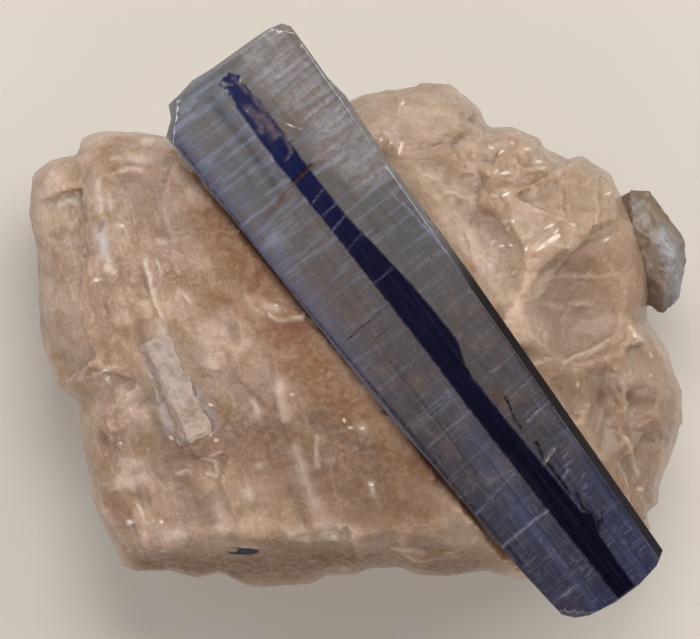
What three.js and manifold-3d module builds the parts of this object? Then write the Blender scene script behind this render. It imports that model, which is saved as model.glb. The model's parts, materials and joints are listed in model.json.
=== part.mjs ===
// A kyanite blade grown across a lump of translucent quartz, lying on its back.
// Millimetres, +Z up. The origin is the middle of the bounding box at the resting face.
import * as THREE from "three";
import { ConvexGeometry } from "three/addons/geometries/ConvexGeometry.js";
import { ImprovedNoise } from "three/addons/math/ImprovedNoise.js";
import { mergeVertices } from "three/addons/utils/BufferGeometryUtils.js";
import Module from "manifold-3d";

const wasm = await Module();
wasm.setup();

// Driving dimensions
const WAIST = 15; // height at which the lump is widest
const BASE_TAPER = 0.32; // share by which the lump narrows from its waist to its resting face
const DOME_TOP = 35; // height at which the even dome under the lobes would close
const DOME_CUT = 32;
const LOBE_LIMIT = 46; // the same for the block that bounds the lobes
const LOBE_CUT = 39;
const SKIRT_FLOOR = 4; // height at which the skirts of the lobes end inside the dome
const SKIRT_SPREAD = 1.4;
const BLADE_TOP = 39.5; // height of the blade's broad face
const BLADE_THICKNESS = 7.5;
const FIT_GAP = 0.3; // space left between grains that grew against each other
const REACH = 200; // larger than the specimen, for cutting blocks
const CHIP_REACH = 16; // height of the block that takes a chip away
const WALL_ROUGHNESS = 0.9; // depth of the waves in the broken walls

const COLOURS = {
  quartz: 0xb9987c,
  kyanite: 0x5f6274,
  paleKyanite: 0xb3b6ae,
};

// Plan outline of the quartz, anticlockwise. The stretches under the blade are straight.
const LUMP_OUTLINE = [
  [-23.7, 23], [-27.5, 23.7], [-32, 23.8], [-34.3, 22.8], [-35.1, 20.9], [-38.5, 20.1], [-40.7, 18.3],
  [-41.1, 13.5], [-40.1, 8.5], [-39.9, 1.5], [-39, -4], [-37.4, -8.2], [-35, -10.3], [-34.5, -15],
  [-33.3, -22], [-31, -27.5], [-29.3, -30.7], [-27.7, -31.4], [-23.5, -31.3], [-20, -32.3], [-17.2, -31.6],
  [-13, -33.5], [-6, -33.2], [-3.8, -32], [-0.3, -31.9], [1.5, -31.2], [5.5, -31], [7.5, -31.9],
  [11, -32.1], [16.2, -31.4], [21, -32.8], [28, -31.6], [34.5, -28.6], [37, -26.2], [36.3, -24.4],
  [37.8, -23], [37.9, -20.4], [39.2, -16.5], [40.9, -13], [40.9, -9], [39.5, -5.8], [39.2, -4.2], [36, 0.4],
  [37.3, 4], [37.1, 9.2], [34.8, 13], [32.6, 17], [31.8, 18.3], [28.6, 20.2], [26.5, 20.1],
  [23.3, 21.7], [22.8, 22.9], [19.5, 24.3], [16.6, 24.1], [15.4, 26.6], [11.3, 30.2], [6.4, 30.6],
  [2.2, 29.5], [-1, 27.6], [-9, 25.6],
];

// Lobes that stand up from the rough block: each is the convex hull of its crown and of its skirt.
const LOBES = {
  northWest: [
    [-34.7, 20.3, 24.5], [-34, 22, 22], [-31.6, 23, 23], [-26, 23.1, 25], [-22, 21, 29], [-20, 18.2, 34],
    [-24, 12, 34], [-29, 7, 31.6], [-33.5, 6, 29], [-34.8, 13, 27], [-31.2, 18.8, 30], [-27, 18.9, 32],
  ],
  west: [
    [-33.8, 7.4, 29.2], [-29, 9, 31.6], [-24, 11, 33.6], [-19, 8.6, 35.2], [-14.6, 1.6, 35.8],
    [-17, -6, 35], [-24, -8.4, 32.8], [-28, -5.8, 31.4], [-33.4, -5.6, 28.8], [-34.8, 1, 28.2],
  ],
  heart: [
    [-25.4, -5, 32.4], [-24, 4, 33], [-14, 4, 35.6], [-8, -6, 35.8], [-12, -16, 34.2], [-20, -17, 33],
    [-25, -12, 32],
  ],
  westShelf: [
    [-35, 19.8, 22.6], [-39, 18.4, 20], [-40.4, 12.6, 19.4], [-36.6, 14.8, 26], [-35.2, 6, 26.6],
    [-39, 3, 21], [-38.3, -3, 20.6], [-35.6, -8.4, 22.4], [-33.6, -4, 27], [-33, 14, 27.6],
  ],
  spine: [
    [-22.4, 20, 34], [-18.6, 15.6, 36.2], [-12, 7.2, 37.2], [-5, -1.6, 37.5], [2, -10.4, 37.4],
    [9, -18.6, 37], [14, -24.6, 36], [17.4, -28.6, 33], [8, -26.4, 34], [0, -20, 35.2], [-7, -9, 36],
    [-14.6, 1.6, 35.8], [-25.6, 12.4, 33.6],
  ],
  rim: [
    [-14, 3.4, 36.4], [-10.2, 0.8, 36.8], [-5.6, -0.6, 37.4], [-4, -9, 36.4], [-9, -13, 35.4],
    [-15, -7, 35], [-16, -1, 35.2],
  ],
  south: [
    [-8, -9, 35.6], [0, -20, 35.3], [8, -27.2, 33.8], [4, -28.4, 32.8], [-6, -27.4, 32.4],
    [-14, -27.4, 31.8], [-17, -20, 33.2], [-14, -12, 34.8],
  ],
  southWest: [
    [-31.4, -11, 28.4], [-25, -7, 31.8], [-18, -13, 33.4], [-14, -27, 31.8], [-22, -27.9, 29.8],
    [-28, -28.5, 26.4], [-31.6, -24, 24], [-33.2, -17, 24.8],
  ],
  southBand: [
    [-28, -28.6, 25.6], [-22, -28, 29.2], [-6, -27.6, 31.8], [4, -28.6, 32], [20.5, -32, 24],
    [12, -31.6, 22], [0, -31.6, 21.6], [-13, -33, 20], [-20, -31.9, 20.6], [-27.5, -31, 19.6],
  ],
  southEdge: [
    [6, -30, 31], [12, -29.2, 32.4], [17, -28.6, 33.4], [21.4, -31.8, 27], [16, -31.6, 23], [8, -31.8, 22.6],
  ],
  north: [
    [0, 27.4, 26], [3.5, 28.9, 24.6], [7, 29.8, 23.6], [11, 29.6, 23], [14.8, 26.4, 25], [13.4, 24.6, 30],
    [10, 26.6, 31.4], [5.5, 26.8, 32], [1.8, 24.4, 33.4], [4.8, 21.6, 33.4], [10, 22.4, 32.4],
    [-4, 25.4, 31], [-5.4, 21, 33],
  ],
  scarp: [
    [4, 21.4, 33], [16, 24.6, 29.6], [18.6, 22, 29.8], [17.8, 19, 30.6], [11, 17, 29.6], [4.6, 15.6, 30.4],
  ],
  crest: [
    [14.8, 20, 30.4], [16.8, 23.9, 27.4], [19.7, 24.2, 24], [22.8, 22.7, 24], [24.6, 20.9, 26.4],
    [24.2, 18.5, 31], [20.5, 19.4, 32], [18, 16, 33],
  ],
  centre: [
    [15.8, 17, 31.8], [14.2, 12.5, 33], [14.6, 7, 33.6], [17.5, 2, 34], [22, 3.2, 35], [25.6, 8.6, 36.4],
    [23.6, 13.6, 36.4], [19, 15.7, 35], [19.5, 9, 37], [29, 11.2, 34],
  ],
  beam: [
    [18.3, 15.4, 35.6], [28.2, 19.6, 29.4], [27.2, 20.3, 27], [29.4, 19.2, 27], [18.9, 14.2, 34],
    [17.6, 16.6, 33],
  ],
  eastFacet: [
    [25, 11.5, 35.2], [30.2, 12, 33], [29.4, 19.2, 28], [26.4, 19.6, 29], [22, 17.6, 32], [22, 12, 35.8],
  ],
  eastEdge: [
    [30.2, 12, 32.4], [29.5, 19.2, 26.4], [31.9, 18.2, 24], [33.8, 13.4, 26.6], [34.6, 13, 25],
    [28, 10, 33], [27, 14, 31],
  ],
  east: [
    [28, 10, 33], [33.8, 12.8, 27.4], [36.4, 9.4, 26.4], [37, 3.4, 24.6], [35.8, 0, 26], [31.6, -1.8, 30.4],
    [25.2, -5, 32.4], [19.5, -3, 34], [18, 1, 34.4], [24, 7, 35],
  ],
  southEast: [
    [20.5, -6, 34], [25.2, -5, 33.4], [31.6, -1.6, 31.8], [34.8, -0.2, 29], [38.4, -4.4, 24], [39.7, -10, 22],
    [38.7, -14.4, 23.4], [36.4, -9, 29.4], [32.3, -7.6, 31.2], [28, -15, 32.6],
  ],
  foot: [
    [27, -13.5, 33], [31, -13.4, 30.6], [34.4, -14.6, 29.4], [38.4, -15.4, 23.4], [37.9, -19, 21.6],
    [37.2, -23.6, 21], [36.2, -25.4, 22], [33.4, -22.4, 28.6], [30, -18, 32],
  ],
};

// Shell-shaped fracture scars: centre, half axes, and turn about Z in degrees.
const SCARS = [
  { at: [9.4, 10.2, 46], radii: [11.5, 19, 17], turn: 37 }, // hollow between the blade and the centre lobe
  { at: [31.4, 1.8, 48], radii: [15, 11.4, 19.4], turn: 24 }, // large bowl below the crest arc
  { at: [31.6, -11.6, 44], radii: [6, 12.4, 14.4], turn: 8 }, // dark valley in the south-east
  { at: [13.8, 32, 36], radii: [9.6, 6.2, 8], turn: -40 }, // crease at the foot of the north lobe
  { at: [20, 25.6, 38], radii: [8, 6, 12.4], turn: 15 },
  { at: [42, 8, 40], radii: [10, 12, 18], turn: 0 },
  { at: [-28.8, -23, 42], radii: [7, 7, 14.8], turn: 0 },
  { at: [-15, -36, 33], radii: [14, 5.6, 14], turn: 2 },
  { at: [3.4, -36.4, 32], radii: [10, 5.8, 14], turn: 0 },
  { at: [-28.4, 27.6, 36], radii: [11, 6.2, 10.4], turn: 4 },
];

// Flat chips off the upper edges: a point on the new face, its outward direction, its breadth and turn.
const CHIPS = [
  { at: [-37.4, 10, 24], facing: [-0.7, 0.15, 0.7], breadth: 11, turn: 10 },
  { at: [-36.6, -2, 24], facing: [-0.75, -0.25, 0.62], breadth: 10, turn: 30 },
  { at: [-32.4, -12.5, 27], facing: [-0.62, -0.1, 0.78], breadth: 8, turn: 12 },
  { at: [-31.6, -18.4, 26], facing: [-0.7, 0.2, 0.7], breadth: 7, turn: 40 },
  { at: [-30.2, -26.6, 23.4], facing: [-0.6, -0.45, 0.66], breadth: 9, turn: 20 },
  { at: [-28.4, -7.6, 30.6], facing: [-0.2, -0.45, 0.87], breadth: 7, turn: 20 },
  { at: [-30.4, 21.4, 26.6], facing: [-0.15, 0.7, 0.7], breadth: 9, turn: 5 },
  { at: [-19.6, -29.4, 27.6], facing: [-0.1, -0.72, 0.7], breadth: 10, turn: 0 },
  { at: [-6, -29.8, 28], facing: [0.1, -0.78, 0.62], breadth: 12, turn: 8 },
  { at: [8.6, -30.2, 28], facing: [0, -0.7, 0.72], breadth: 8, turn: 30 },
  { at: [14.6, 21.4, 29.6], facing: [0.2, 0.3, 0.93], breadth: 5, turn: 35 },
  { at: [21.4, 20.8, 28.8], facing: [0.3, 0.42, 0.86], breadth: 4.4, turn: 15 },
  { at: [16.4, 5.4, 33.2], facing: [-0.5, -0.1, 0.86], breadth: 8, turn: 20 },
  { at: [27.4, 16, 30.6], facing: [0.42, 0.5, 0.76], breadth: 6, turn: 10 },
  { at: [36.4, -6, 27], facing: [0.72, 0.3, 0.62], breadth: 7, turn: 25 },
  { at: [36, -12, 27], facing: [0.42, 0.16, 0.9], breadth: 6.4, turn: 5 },
  { at: [35.4, -18.4, 25.6], facing: [0.66, -0.05, 0.75], breadth: 7, turn: 30 },
  { at: [27.6, -8.6, 32.2], facing: [0.15, -0.28, 0.95], breadth: 6, turn: 30 },
];

// Broken faces round the walls and underneath: a point on each face and its outward direction.
const BREAKS = [
  { through: [-41.5, 12, 16], facing: [-1, 0.12, -0.35] },
  { through: [-38.5, -7, 14], facing: [-1, -0.42, -0.3] },
  { through: [-33.5, -22, 13], facing: [-1, -0.35, -0.55] },
  { through: [-24, -32, 12], facing: [-0.2, -1, -0.5] },
  { through: [-8, -33.6, 14], facing: [0.05, -1, -0.22] },
  { through: [12, -32.2, 15], facing: [0.12, -1, -0.45] },
  { through: [34, -28.5, 16], facing: [0.8, -1, -0.25] },
  { through: [40.2, -11, 15], facing: [1, 0.05, -0.42] },
  { through: [38, -22, 14], facing: [1, -0.25, -0.3] },
  { through: [36.6, 5, 16], facing: [1, 0.36, -0.3] },
  { through: [31, 19, 14], facing: [0.8, 1, -0.35] },
  { through: [18, 25, 15], facing: [0.25, 1, -0.5] },
  { through: [7, 30.4, 15], facing: [-0.05, 1, -0.28] },
  { through: [-14, 26, 17], facing: [-0.1, 1, -0.2] },
  { through: [-31, 24, 12], facing: [-0.1, 1, -0.5] },
  { through: [30, -30, 3], facing: [0.5, -0.75, -0.9] },
  { through: [-35, 16, 4], facing: [-0.8, 0.5, -0.9] },
  { through: [34, 12, 4], facing: [0.9, 0.5, -0.85] },
];

// The large blade: plan outline anticlockwise, with both ends broken off.
const BLADE_OUTLINE = [
  [-23.7, 22.8], [-20, 18.4], [-10, 5.7], [0, -6.9], [4, -11.9], [10, -18.7], [14.6, -24.1],
  [20.3, -31], [24, -35], [25.4, -36.5], [27, -36.9], [28.8, -36.6], [32, -35], [35, -32.8],
  [37.2, -30.4], [38, -28.4], [37.7, -27.4], [33.8, -22.1], [26.6, -12], [18.5, -0.3], [10.5, 10.8],
  [4.3, 19.2], [-1.4, 27.9], [-3.6, 30.1], [-6, 33.5], [-8.2, 36.5], [-9.3, 36.9], [-11, 36.2],
  [-13, 34.9], [-15.5, 33.1], [-18, 31.3], [-20.5, 29.8], [-22, 28.1], [-23.4, 26.8], [-23.1, 25],
];
// Long narrow faces of the blade: a point on each and its outward direction.
const BLADE_FACES = [
  { through: [11, 8.6, BLADE_TOP], facing: [0.82, 0.57, 0.72] }, // upper right
  { through: [18, -0.9, BLADE_TOP - 3.4], facing: [0.82, 0.57, -0.3] }, // lower right
  { through: [0.35, -6.7, BLADE_TOP], facing: [-0.78, -0.63, 0.9] }, // upper left, narrow
  { through: [-0.1, -7, BLADE_TOP - 4.6], facing: [-0.78, -0.63, -0.8] }, // lower left
];
// Broken ends of the blade.
const BLADE_BREAKS = [
  { through: [-17.2, 31.6, BLADE_TOP - 0.4], facing: [-0.62, 0.82, 0.6] },
  { through: [-15, 33.2, BLADE_TOP - 5], facing: [-0.5, 0.85, -0.75] },
  { through: [-22.9, 26, BLADE_TOP - 0.6], facing: [-1, 0.1, 0.7] },
  { through: [-8, 36.2, BLADE_TOP - 0.6], facing: [0.2, 1, 0.8] },
  { through: [33.6, -34, BLADE_TOP - 0.5], facing: [0.62, -0.85, 0.75] },
  { through: [32, -34.6, BLADE_TOP - 5], facing: [0.6, -0.8, -0.5] },
  { through: [26.6, -36.8, BLADE_TOP - 0.8], facing: [-0.1, -1, 0.9] },
];

// The pale blade end on the east side: corners of its broken block.
const STUB_CORNERS = [
  [33, 15.4, 22], [34.3, 16.3, 24], [36.4, 16.1, 24.4], [38.9, 12, 24], [40.8, 10.1, 23], [41.1, 7.4, 22],
  [40.2, 3, 21.6], [38.2, 1, 21], [36.5, 1.9, 21.4], [34.4, 12, 27], [36.6, 10.2, 28], [39.6, 8.6, 27.4],
  [38.4, 3.4, 25.6], [36.2, 6, 26.4], [33.4, 14, 15], [37, 15, 13], [40, 9, 12], [39, 3.2, 13],
  [35.6, 3, 14], [32, 9, 17], [36, 9, 10.6],
];

// Slender grains set into the quartz: middle, size, turn about Z, tip about their length and slope.
const LATHS = {
  pale_kyanite_lath: { at: [-22.3, -8.5, 32.1], size: [12.8, 4.6, 3.4], turn: -66, lean: -5, pitch: -4 },
  dark_kyanite_sliver: { at: [-14.4, -28.75, 30.6], size: [4.3, 0.75, 3], turn: -3, lean: 20, pitch: 0 },
};

/** A closed three.js geometry as a manifold solid. */
function solid(geometry) {
  const bare = geometry.index ? geometry.toNonIndexed() : geometry.clone();
  for (const name of ["normal", "uv"]) bare.deleteAttribute(name);
  const merged = mergeVertices(bare, 1e-4);
  return new wasm.Manifold(
    new wasm.Mesh({
      numProp: 3,
      vertProperties: merged.attributes.position.array,
      triVerts: new Uint32Array(merged.index.array),
    }),
  );
}

/** A manifold solid as a named mesh with a flat-shaded material. */
function meshOf(name, body, colour, roughness) {
  const made = body.getMesh();
  const geometry = new THREE.BufferGeometry()
    .setAttribute("position", new THREE.BufferAttribute(made.vertProperties, 3))
    .setIndex(new THREE.BufferAttribute(made.triVerts, 1));
  geometry.computeVertexNormals();
  const look = { color: colour, roughness, metalness: 0, flatShading: true };
  const mesh = new THREE.Mesh(geometry, new THREE.MeshStandardMaterial(look));
  mesh.name = name;
  return mesh;
}

/** The space beyond the plane through a point, as a block that stands on the plane. */
function beyond({ through, facing }) {
  const turn = new THREE.Quaternion().setFromUnitVectors(
    new THREE.Vector3(0, 0, 1),
    new THREE.Vector3(...facing).normalize(),
  );
  const block = new THREE.BoxGeometry(REACH, REACH, REACH).translate(0, 0, REACH / 2);
  return solid(block.applyQuaternion(turn).translate(...through));
}

/** The block that leaves one flat chip face when it is taken away. */
function chip({ at, facing, breadth, turn }) {
  const lay = new THREE.Quaternion().setFromUnitVectors(
    new THREE.Vector3(0, 0, 1),
    new THREE.Vector3(...facing).normalize(),
  );
  const block = new THREE.BoxGeometry(breadth, breadth, CHIP_REACH).translate(0, 0, CHIP_REACH / 2);
  return solid(block.rotateZ(THREE.MathUtils.degToRad(turn)).applyQuaternion(lay).translate(...at));
}

/** A plan outline as a THREE.Shape. */
function shapeOf(outline) {
  return new THREE.Shape(outline.map(([x, y]) => new THREE.Vector2(x, y)));
}

/** How wide the lump is at a height, as a share of its outline, for a lump that closes at the top. */
function wallProfile(z, waist, top) {
  if (z < waist) return 1 - BASE_TAPER * ((waist - z) / waist) ** 2.2;
  return (1 - ((z - waist) / (top - waist)) ** 2.4) ** (1 / 2.4);
}

/** A rough block: the outline drawn out upwards, with bulging, wavy walls that close in towards the top. */
function roughBlock(height, top) {
  const geometry = new THREE.ExtrudeGeometry(shapeOf(LUMP_OUTLINE), {
    depth: height, steps: 12, bevelEnabled: false,
  });
  const noise = new ImprovedNoise();
  const at = geometry.getAttribute("position");
  for (let i = 0; i < at.count; i++) {
    const [x, y, z] = [at.getX(i), at.getY(i), at.getZ(i)];
    const share = wallProfile(z, WAIST + 2 * Math.sin(2 * Math.atan2(y, x) + 1), top);
    const wave = WALL_ROUGHNESS * noise.noise(x / 6, y / 6, z / 5) * Math.min(1, Math.abs(z - WAIST) / 5);
    const inward = share - Math.max(0, wave) / Math.hypot(x, y);
    at.setXY(i, x * inward, y * inward);
  }
  return solid(geometry);
}

/** One lobe: its crown joined to the floor by steep sides. */
function lobe(crown) {
  const points = crown.map(([x, y, z]) => new THREE.Vector3(x, y, z));
  const middle = points.reduce((sum, p) => sum.add(p), new THREE.Vector3()).divideScalar(points.length);
  const skirt = points.map((p) => {
    const spread = p.clone().sub(middle).multiplyScalar(SKIRT_SPREAD);
    return new THREE.Vector3(middle.x + spread.x, middle.y + spread.y, SKIRT_FLOOR);
  });
  return solid(new ConvexGeometry([...points, ...skirt]));
}

/** One shell-shaped scar, as the ellipsoid that is taken away. */
function scar({ at, radii, turn }) {
  const ball = new THREE.IcosahedronGeometry(1, 7).scale(...radii);
  return solid(ball.rotateZ(THREE.MathUtils.degToRad(turn)).translate(...at));
}

/** A slender grain, grown by a margin on every side. */
function lathSolid({ at, size, turn, lean, pitch }, margin) {
  const [length, width, depth] = size.map((value) => value + 2 * margin);
  const bar = new THREE.CylinderGeometry(0.5, 0.5, 1, 6).rotateZ(Math.PI / 2).scale(length, depth, width);
  bar.rotateX(Math.PI / 2 + THREE.MathUtils.degToRad(lean));
  bar.rotateY(THREE.MathUtils.degToRad(pitch));
  return solid(bar.rotateZ(THREE.MathUtils.degToRad(turn)).translate(...at));
}

/** The large blade, grown by a margin on every side. */
function bladeSolid(margin) {
  const depth = BLADE_THICKNESS + 2 * margin;
  const geometry = new THREE.ExtrudeGeometry(shapeOf(BLADE_OUTLINE), { depth, bevelEnabled: false });
  const middle = new THREE.Vector3(7.2, 0, 0);
  const grow = 1 + margin / 9;
  geometry.translate(-middle.x, -middle.y, 0).rotateZ(THREE.MathUtils.degToRad(52.8));
  geometry.scale(1 + margin / 39, grow, 1).rotateZ(THREE.MathUtils.degToRad(-52.8));
  geometry.translate(middle.x, middle.y, BLADE_TOP + margin - depth);
  return [...BLADE_FACES, ...BLADE_BREAKS].reduce((body, { through, facing }) => {
    const out = new THREE.Vector3(...facing).normalize().multiplyScalar(margin);
    const moved = through.map((value, axis) => value + out.getComponent(axis));
    return body.subtract(beyond({ through: moved, facing }));
  }, solid(geometry));
}

/** The pale blade end, grown by a margin on every side. */
function stubSolid(margin) {
  const middle = new THREE.Vector3(37, 8.5, 19);
  const corners = STUB_CORNERS.map(([x, y, z]) => {
    const arm = new THREE.Vector3(x, y, z).sub(middle);
    return middle.clone().add(arm.setLength(arm.length() + margin));
  });
  return solid(new ConvexGeometry(corners));
}

/** The quartz: lobes inside the rough block, scarred, broken back and cut round its neighbours. */
function quartzSolid(neighbours) {
  const crowns = Object.values(LOBES).map(lobe);
  const relief = crowns.reduce((body, next) => body.add(next));
  let body = roughBlock(LOBE_CUT, LOBE_LIMIT).intersect(relief).add(roughBlock(DOME_CUT, DOME_TOP));
  for (const each of SCARS) body = body.subtract(scar(each));
  for (const each of CHIPS) body = body.subtract(chip(each));
  for (const each of BREAKS) body = body.subtract(beyond(each));
  for (const each of neighbours) body = body.subtract(each);
  return body.decompose().sort((a, b) => b.volume() - a.volume())[0];
}

const specimen = new THREE.Group();
const laths = Object.entries(LATHS);
const quartz = quartzSolid([
  bladeSolid(FIT_GAP),
  stubSolid(FIT_GAP),
  ...laths.map(([, lath]) => lathSolid(lath, FIT_GAP)),
]);
specimen.add(meshOf("quartz_matrix", quartz, COLOURS.quartz, 0.35));
specimen.add(meshOf("kyanite_blade", bladeSolid(0), COLOURS.kyanite, 0.3));
specimen.add(meshOf("pale_kyanite_stub", stubSolid(0), COLOURS.paleKyanite, 0.5));
for (const [name, lath] of laths) {
  const colour = name.startsWith("dark") ? COLOURS.kyanite : COLOURS.paleKyanite;
  specimen.add(meshOf(name, lathSolid(lath, 0), colour, 0.4));
}

export default specimen;
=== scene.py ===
"""Looks of a kyanite blade grown across a broken lump of quartz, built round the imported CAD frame.

Every length in a dataclass is in millimetres unless its name ends in _m. Meshes are in metres.
Plan positions are (x, y) pairs in the frame: +X east, +Y north, +Z up out of the blade's broad face.
"""

from __future__ import annotations

import json
import logging
import math
from dataclasses import dataclass, field
from enum import Enum

import bmesh
import bpy
import numpy as np
from mathutils import Euler, Matrix, Vector, noise
from mathutils.bvhtree import BVHTree

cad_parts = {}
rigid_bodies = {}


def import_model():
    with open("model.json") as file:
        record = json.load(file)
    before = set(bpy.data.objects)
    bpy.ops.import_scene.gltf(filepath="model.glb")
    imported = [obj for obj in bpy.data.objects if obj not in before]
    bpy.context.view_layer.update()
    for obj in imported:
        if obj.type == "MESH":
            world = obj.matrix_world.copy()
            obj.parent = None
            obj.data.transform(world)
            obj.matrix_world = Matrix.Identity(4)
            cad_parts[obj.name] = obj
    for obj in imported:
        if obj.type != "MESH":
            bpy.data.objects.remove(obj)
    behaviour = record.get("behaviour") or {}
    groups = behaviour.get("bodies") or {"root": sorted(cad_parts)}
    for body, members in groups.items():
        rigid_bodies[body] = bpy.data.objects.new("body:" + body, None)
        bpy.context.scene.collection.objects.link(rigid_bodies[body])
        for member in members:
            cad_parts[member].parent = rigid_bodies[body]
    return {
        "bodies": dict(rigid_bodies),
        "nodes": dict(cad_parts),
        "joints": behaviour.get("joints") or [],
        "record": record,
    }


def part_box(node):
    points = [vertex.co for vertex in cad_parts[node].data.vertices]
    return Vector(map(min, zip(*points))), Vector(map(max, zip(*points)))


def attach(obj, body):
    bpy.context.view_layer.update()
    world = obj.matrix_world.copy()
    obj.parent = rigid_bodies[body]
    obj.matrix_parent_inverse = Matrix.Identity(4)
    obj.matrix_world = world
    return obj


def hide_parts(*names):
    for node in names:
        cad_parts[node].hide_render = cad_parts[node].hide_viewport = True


MM = 0.001
BREAK_SEED = 7  # Settles how the flat breaks tilt, so that every run draws the same ones.
LOG = logging.getLogger("specimen")
Point = tuple[float, float]
Point3 = tuple[float, float, float]
Path = tuple[Point, ...]
Line = tuple[float, float, Path]
Tree = bpy.types.NodeTree
Node = bpy.types.Node
Socket = bpy.types.NodeSocket
Layer = tuple[Socket, float, float, float, str]
ABOVE_M = 0.06  # Clear above the specimen: rays that look for a surface start here and run down.


def linear(hex_colour: str) -> tuple[float, float, float, float]:
    """Turn an sRGB hex colour into linear RGBA.

    Args:
        hex_colour: Six hex digits with a leading hash.

    Returns:
        Linear red, green and blue with an alpha of 1.
    """
    parts = [int(hex_colour[i : i + 2], 16) / 255 for i in (1, 3, 5)]
    red, green, blue = (c / 12.92 if c <= 0.04045 else ((c + 0.055) / 1.055) ** 2.4 for c in parts)
    return (red, green, blue, 1.0)


def feed(tree: Tree, node: Node, inputs: dict) -> None:
    """Set a node's inputs.

    Args:
        tree: The node tree.
        node: The node.
        inputs: Socket name or number to a constant, or to the output socket that feeds it.
    """
    for key, value in inputs.items():
        if isinstance(value, bpy.types.NodeSocket):
            tree.links.new(value, node.inputs[key])
        else:
            node.inputs[key].default_value = value


def add_node(tree: Tree, kind: str, inputs: dict | None = None, **settings) -> Node:
    """Add a shader node with its settings and its inputs.

    Args:
        tree: The node tree that takes the node.
        kind: The node's type name.
        inputs: Socket name or number to a constant, or to the output socket that feeds it.
        settings: Properties of the node.

    Returns:
        The new node.
    """
    made = tree.nodes.new(kind)
    for name, value in settings.items():
        setattr(made, name, value)
    feed(tree, made, inputs or {})
    return made


def ramp(tree: Tree, share: Socket, stops: dict[float, str]) -> Socket:
    """Turn a share into a colour along a row of stops.

    Args:
        tree: The node tree.
        share: Place on the row, from 0 to 1.
        stops: Place on the row to hex colour.

    Returns:
        The colour.
    """
    made = add_node(tree, "ShaderNodeValToRGB", {"Fac": share})
    row = made.color_ramp.elements
    while len(row) < len(stops):
        row.new(0.5)
    for element, (place, colour) in zip(row, sorted(stops.items())):
        element.position = place
        element.color = linear(colour)
    return made.outputs[0]


def own_place(tree: Tree) -> Socket:
    """Return the position on the piece, in metres."""
    return add_node(tree, "ShaderNodeTexCoord").outputs["Object"]


def stretched(tree: Tree, place: Socket, scale: Point3 = (1.0, 1.0, 1.0), turn_deg: float = 0.0) -> Socket:
    """Scale and then turn, about Z, the positions that a pattern is drawn at."""
    return add_node(tree, "ShaderNodeMapping", {
        "Vector": place, "Rotation": (0, 0, math.radians(turn_deg)), "Scale": scale}).outputs[0]


def vector_maths(tree: Tree, operation: str, inputs: dict) -> Socket:
    """Work out one vector from others, given by socket number."""
    return add_node(tree, "ShaderNodeVectorMath", inputs, operation=operation).outputs[0]


def cells(tree: Tree, place: Socket, size: float, wanted: str = "Color", feature: str = "F1") -> Socket:
    """Part space into cells of a given breadth, and return their colour or the distance wanted."""
    inputs = {"Vector": place, "Scale": 1 / size}
    return add_node(tree, "ShaderNodeTexVoronoi", inputs, feature=feature).outputs[wanted]


def field_value(tree: Tree, name: str) -> Socket:
    """Read one of the mesh's named fields."""
    return add_node(tree, "ShaderNodeAttribute", attribute_name=name).outputs["Fac"]


def grain_noise(tree: Tree, place: Socket, size: float, detail: float, roughness: float = 0.6,
                distortion: float = 0.0) -> Socket:
    """Make noise whose blotches are a given size.

    Args:
        tree: The node tree.
        place: Output that gives the position, in units that the size shares.
        size: Breadth of a blotch.
        detail: Octaves.
        roughness: Share that each octave keeps.
        distortion: How far the noise is stirred.

    Returns:
        The noise output, about 0.3 to 0.7.
    """
    return add_node(tree, "ShaderNodeTexNoise", {
        "Vector": place, "Scale": 1 / size, "Detail": detail, "Roughness": roughness,
        "Distortion": distortion}).outputs["Fac"]


def spread(tree: Tree, value: Socket, low: float, high: float, to_low: float = 0.0,
           to_high: float = 1.0) -> Socket:
    """Map a range to another one, held at both ends."""
    return add_node(tree, "ShaderNodeMapRange", {
        "Value": value, "From Min": low, "From Max": high, "To Min": to_low, "To Max": to_high}).outputs[0]


def times(tree: Tree, first: Socket, second: Socket | float) -> Socket:
    """Multiply two values and keep the product between 0 and 1."""
    inputs = {0: first, 1: second}
    return add_node(tree, "ShaderNodeMath", inputs, operation="MULTIPLY", use_clamp=True).outputs[0]


def plus(tree: Tree, first: Socket, second: Socket) -> Socket:
    """Add two values."""
    return add_node(tree, "ShaderNodeMath", {0: first, 1: second}, operation="ADD").outputs[0]


def gained(tree: Tree, value: Socket, gain: float, offset: Socket) -> Socket:
    """Multiply a value by a gain and add another value."""
    inputs = {0: value, 1: gain, 2: offset}
    return add_node(tree, "ShaderNodeMath", inputs, operation="MULTIPLY_ADD").outputs[0]


def blend(tree: Tree, share: Socket, under: Socket | str, over: Socket | str) -> Socket:
    """Lay one colour over another by a share; a hex string stands for a plain colour."""
    under, over = (linear(c) if isinstance(c, str) else c for c in (under, over))
    return add_node(tree, "ShaderNodeMix", {0: share, 6: under, 7: over}, data_type="RGBA").outputs[2]


def lay_over(tree: Tree, colour: Socket, layers: tuple[Layer, ...]) -> Socket:
    """Lay a row of tones over a colour.

    Args:
        tree: The node tree.
        colour: The colour below.
        layers: For each tone: its pattern, where the pattern begins and ends to show it, the most of it
            that shows, and the tone.

    Returns:
        The colour with the tones on it.
    """
    for pattern, begins, ends, most, tone in layers:
        colour = blend(tree, spread(tree, pattern, begins, ends, 0.0, most), colour, tone)
    return colour


def smoothstep(low: float, high: float, value: np.ndarray) -> np.ndarray:
    """Rise smoothly from 0 at low to 1 at high."""
    t = np.clip((value - low) / (high - low), 0.0, 1.0)
    return t * t * (3.0 - 2.0 * t)


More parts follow.
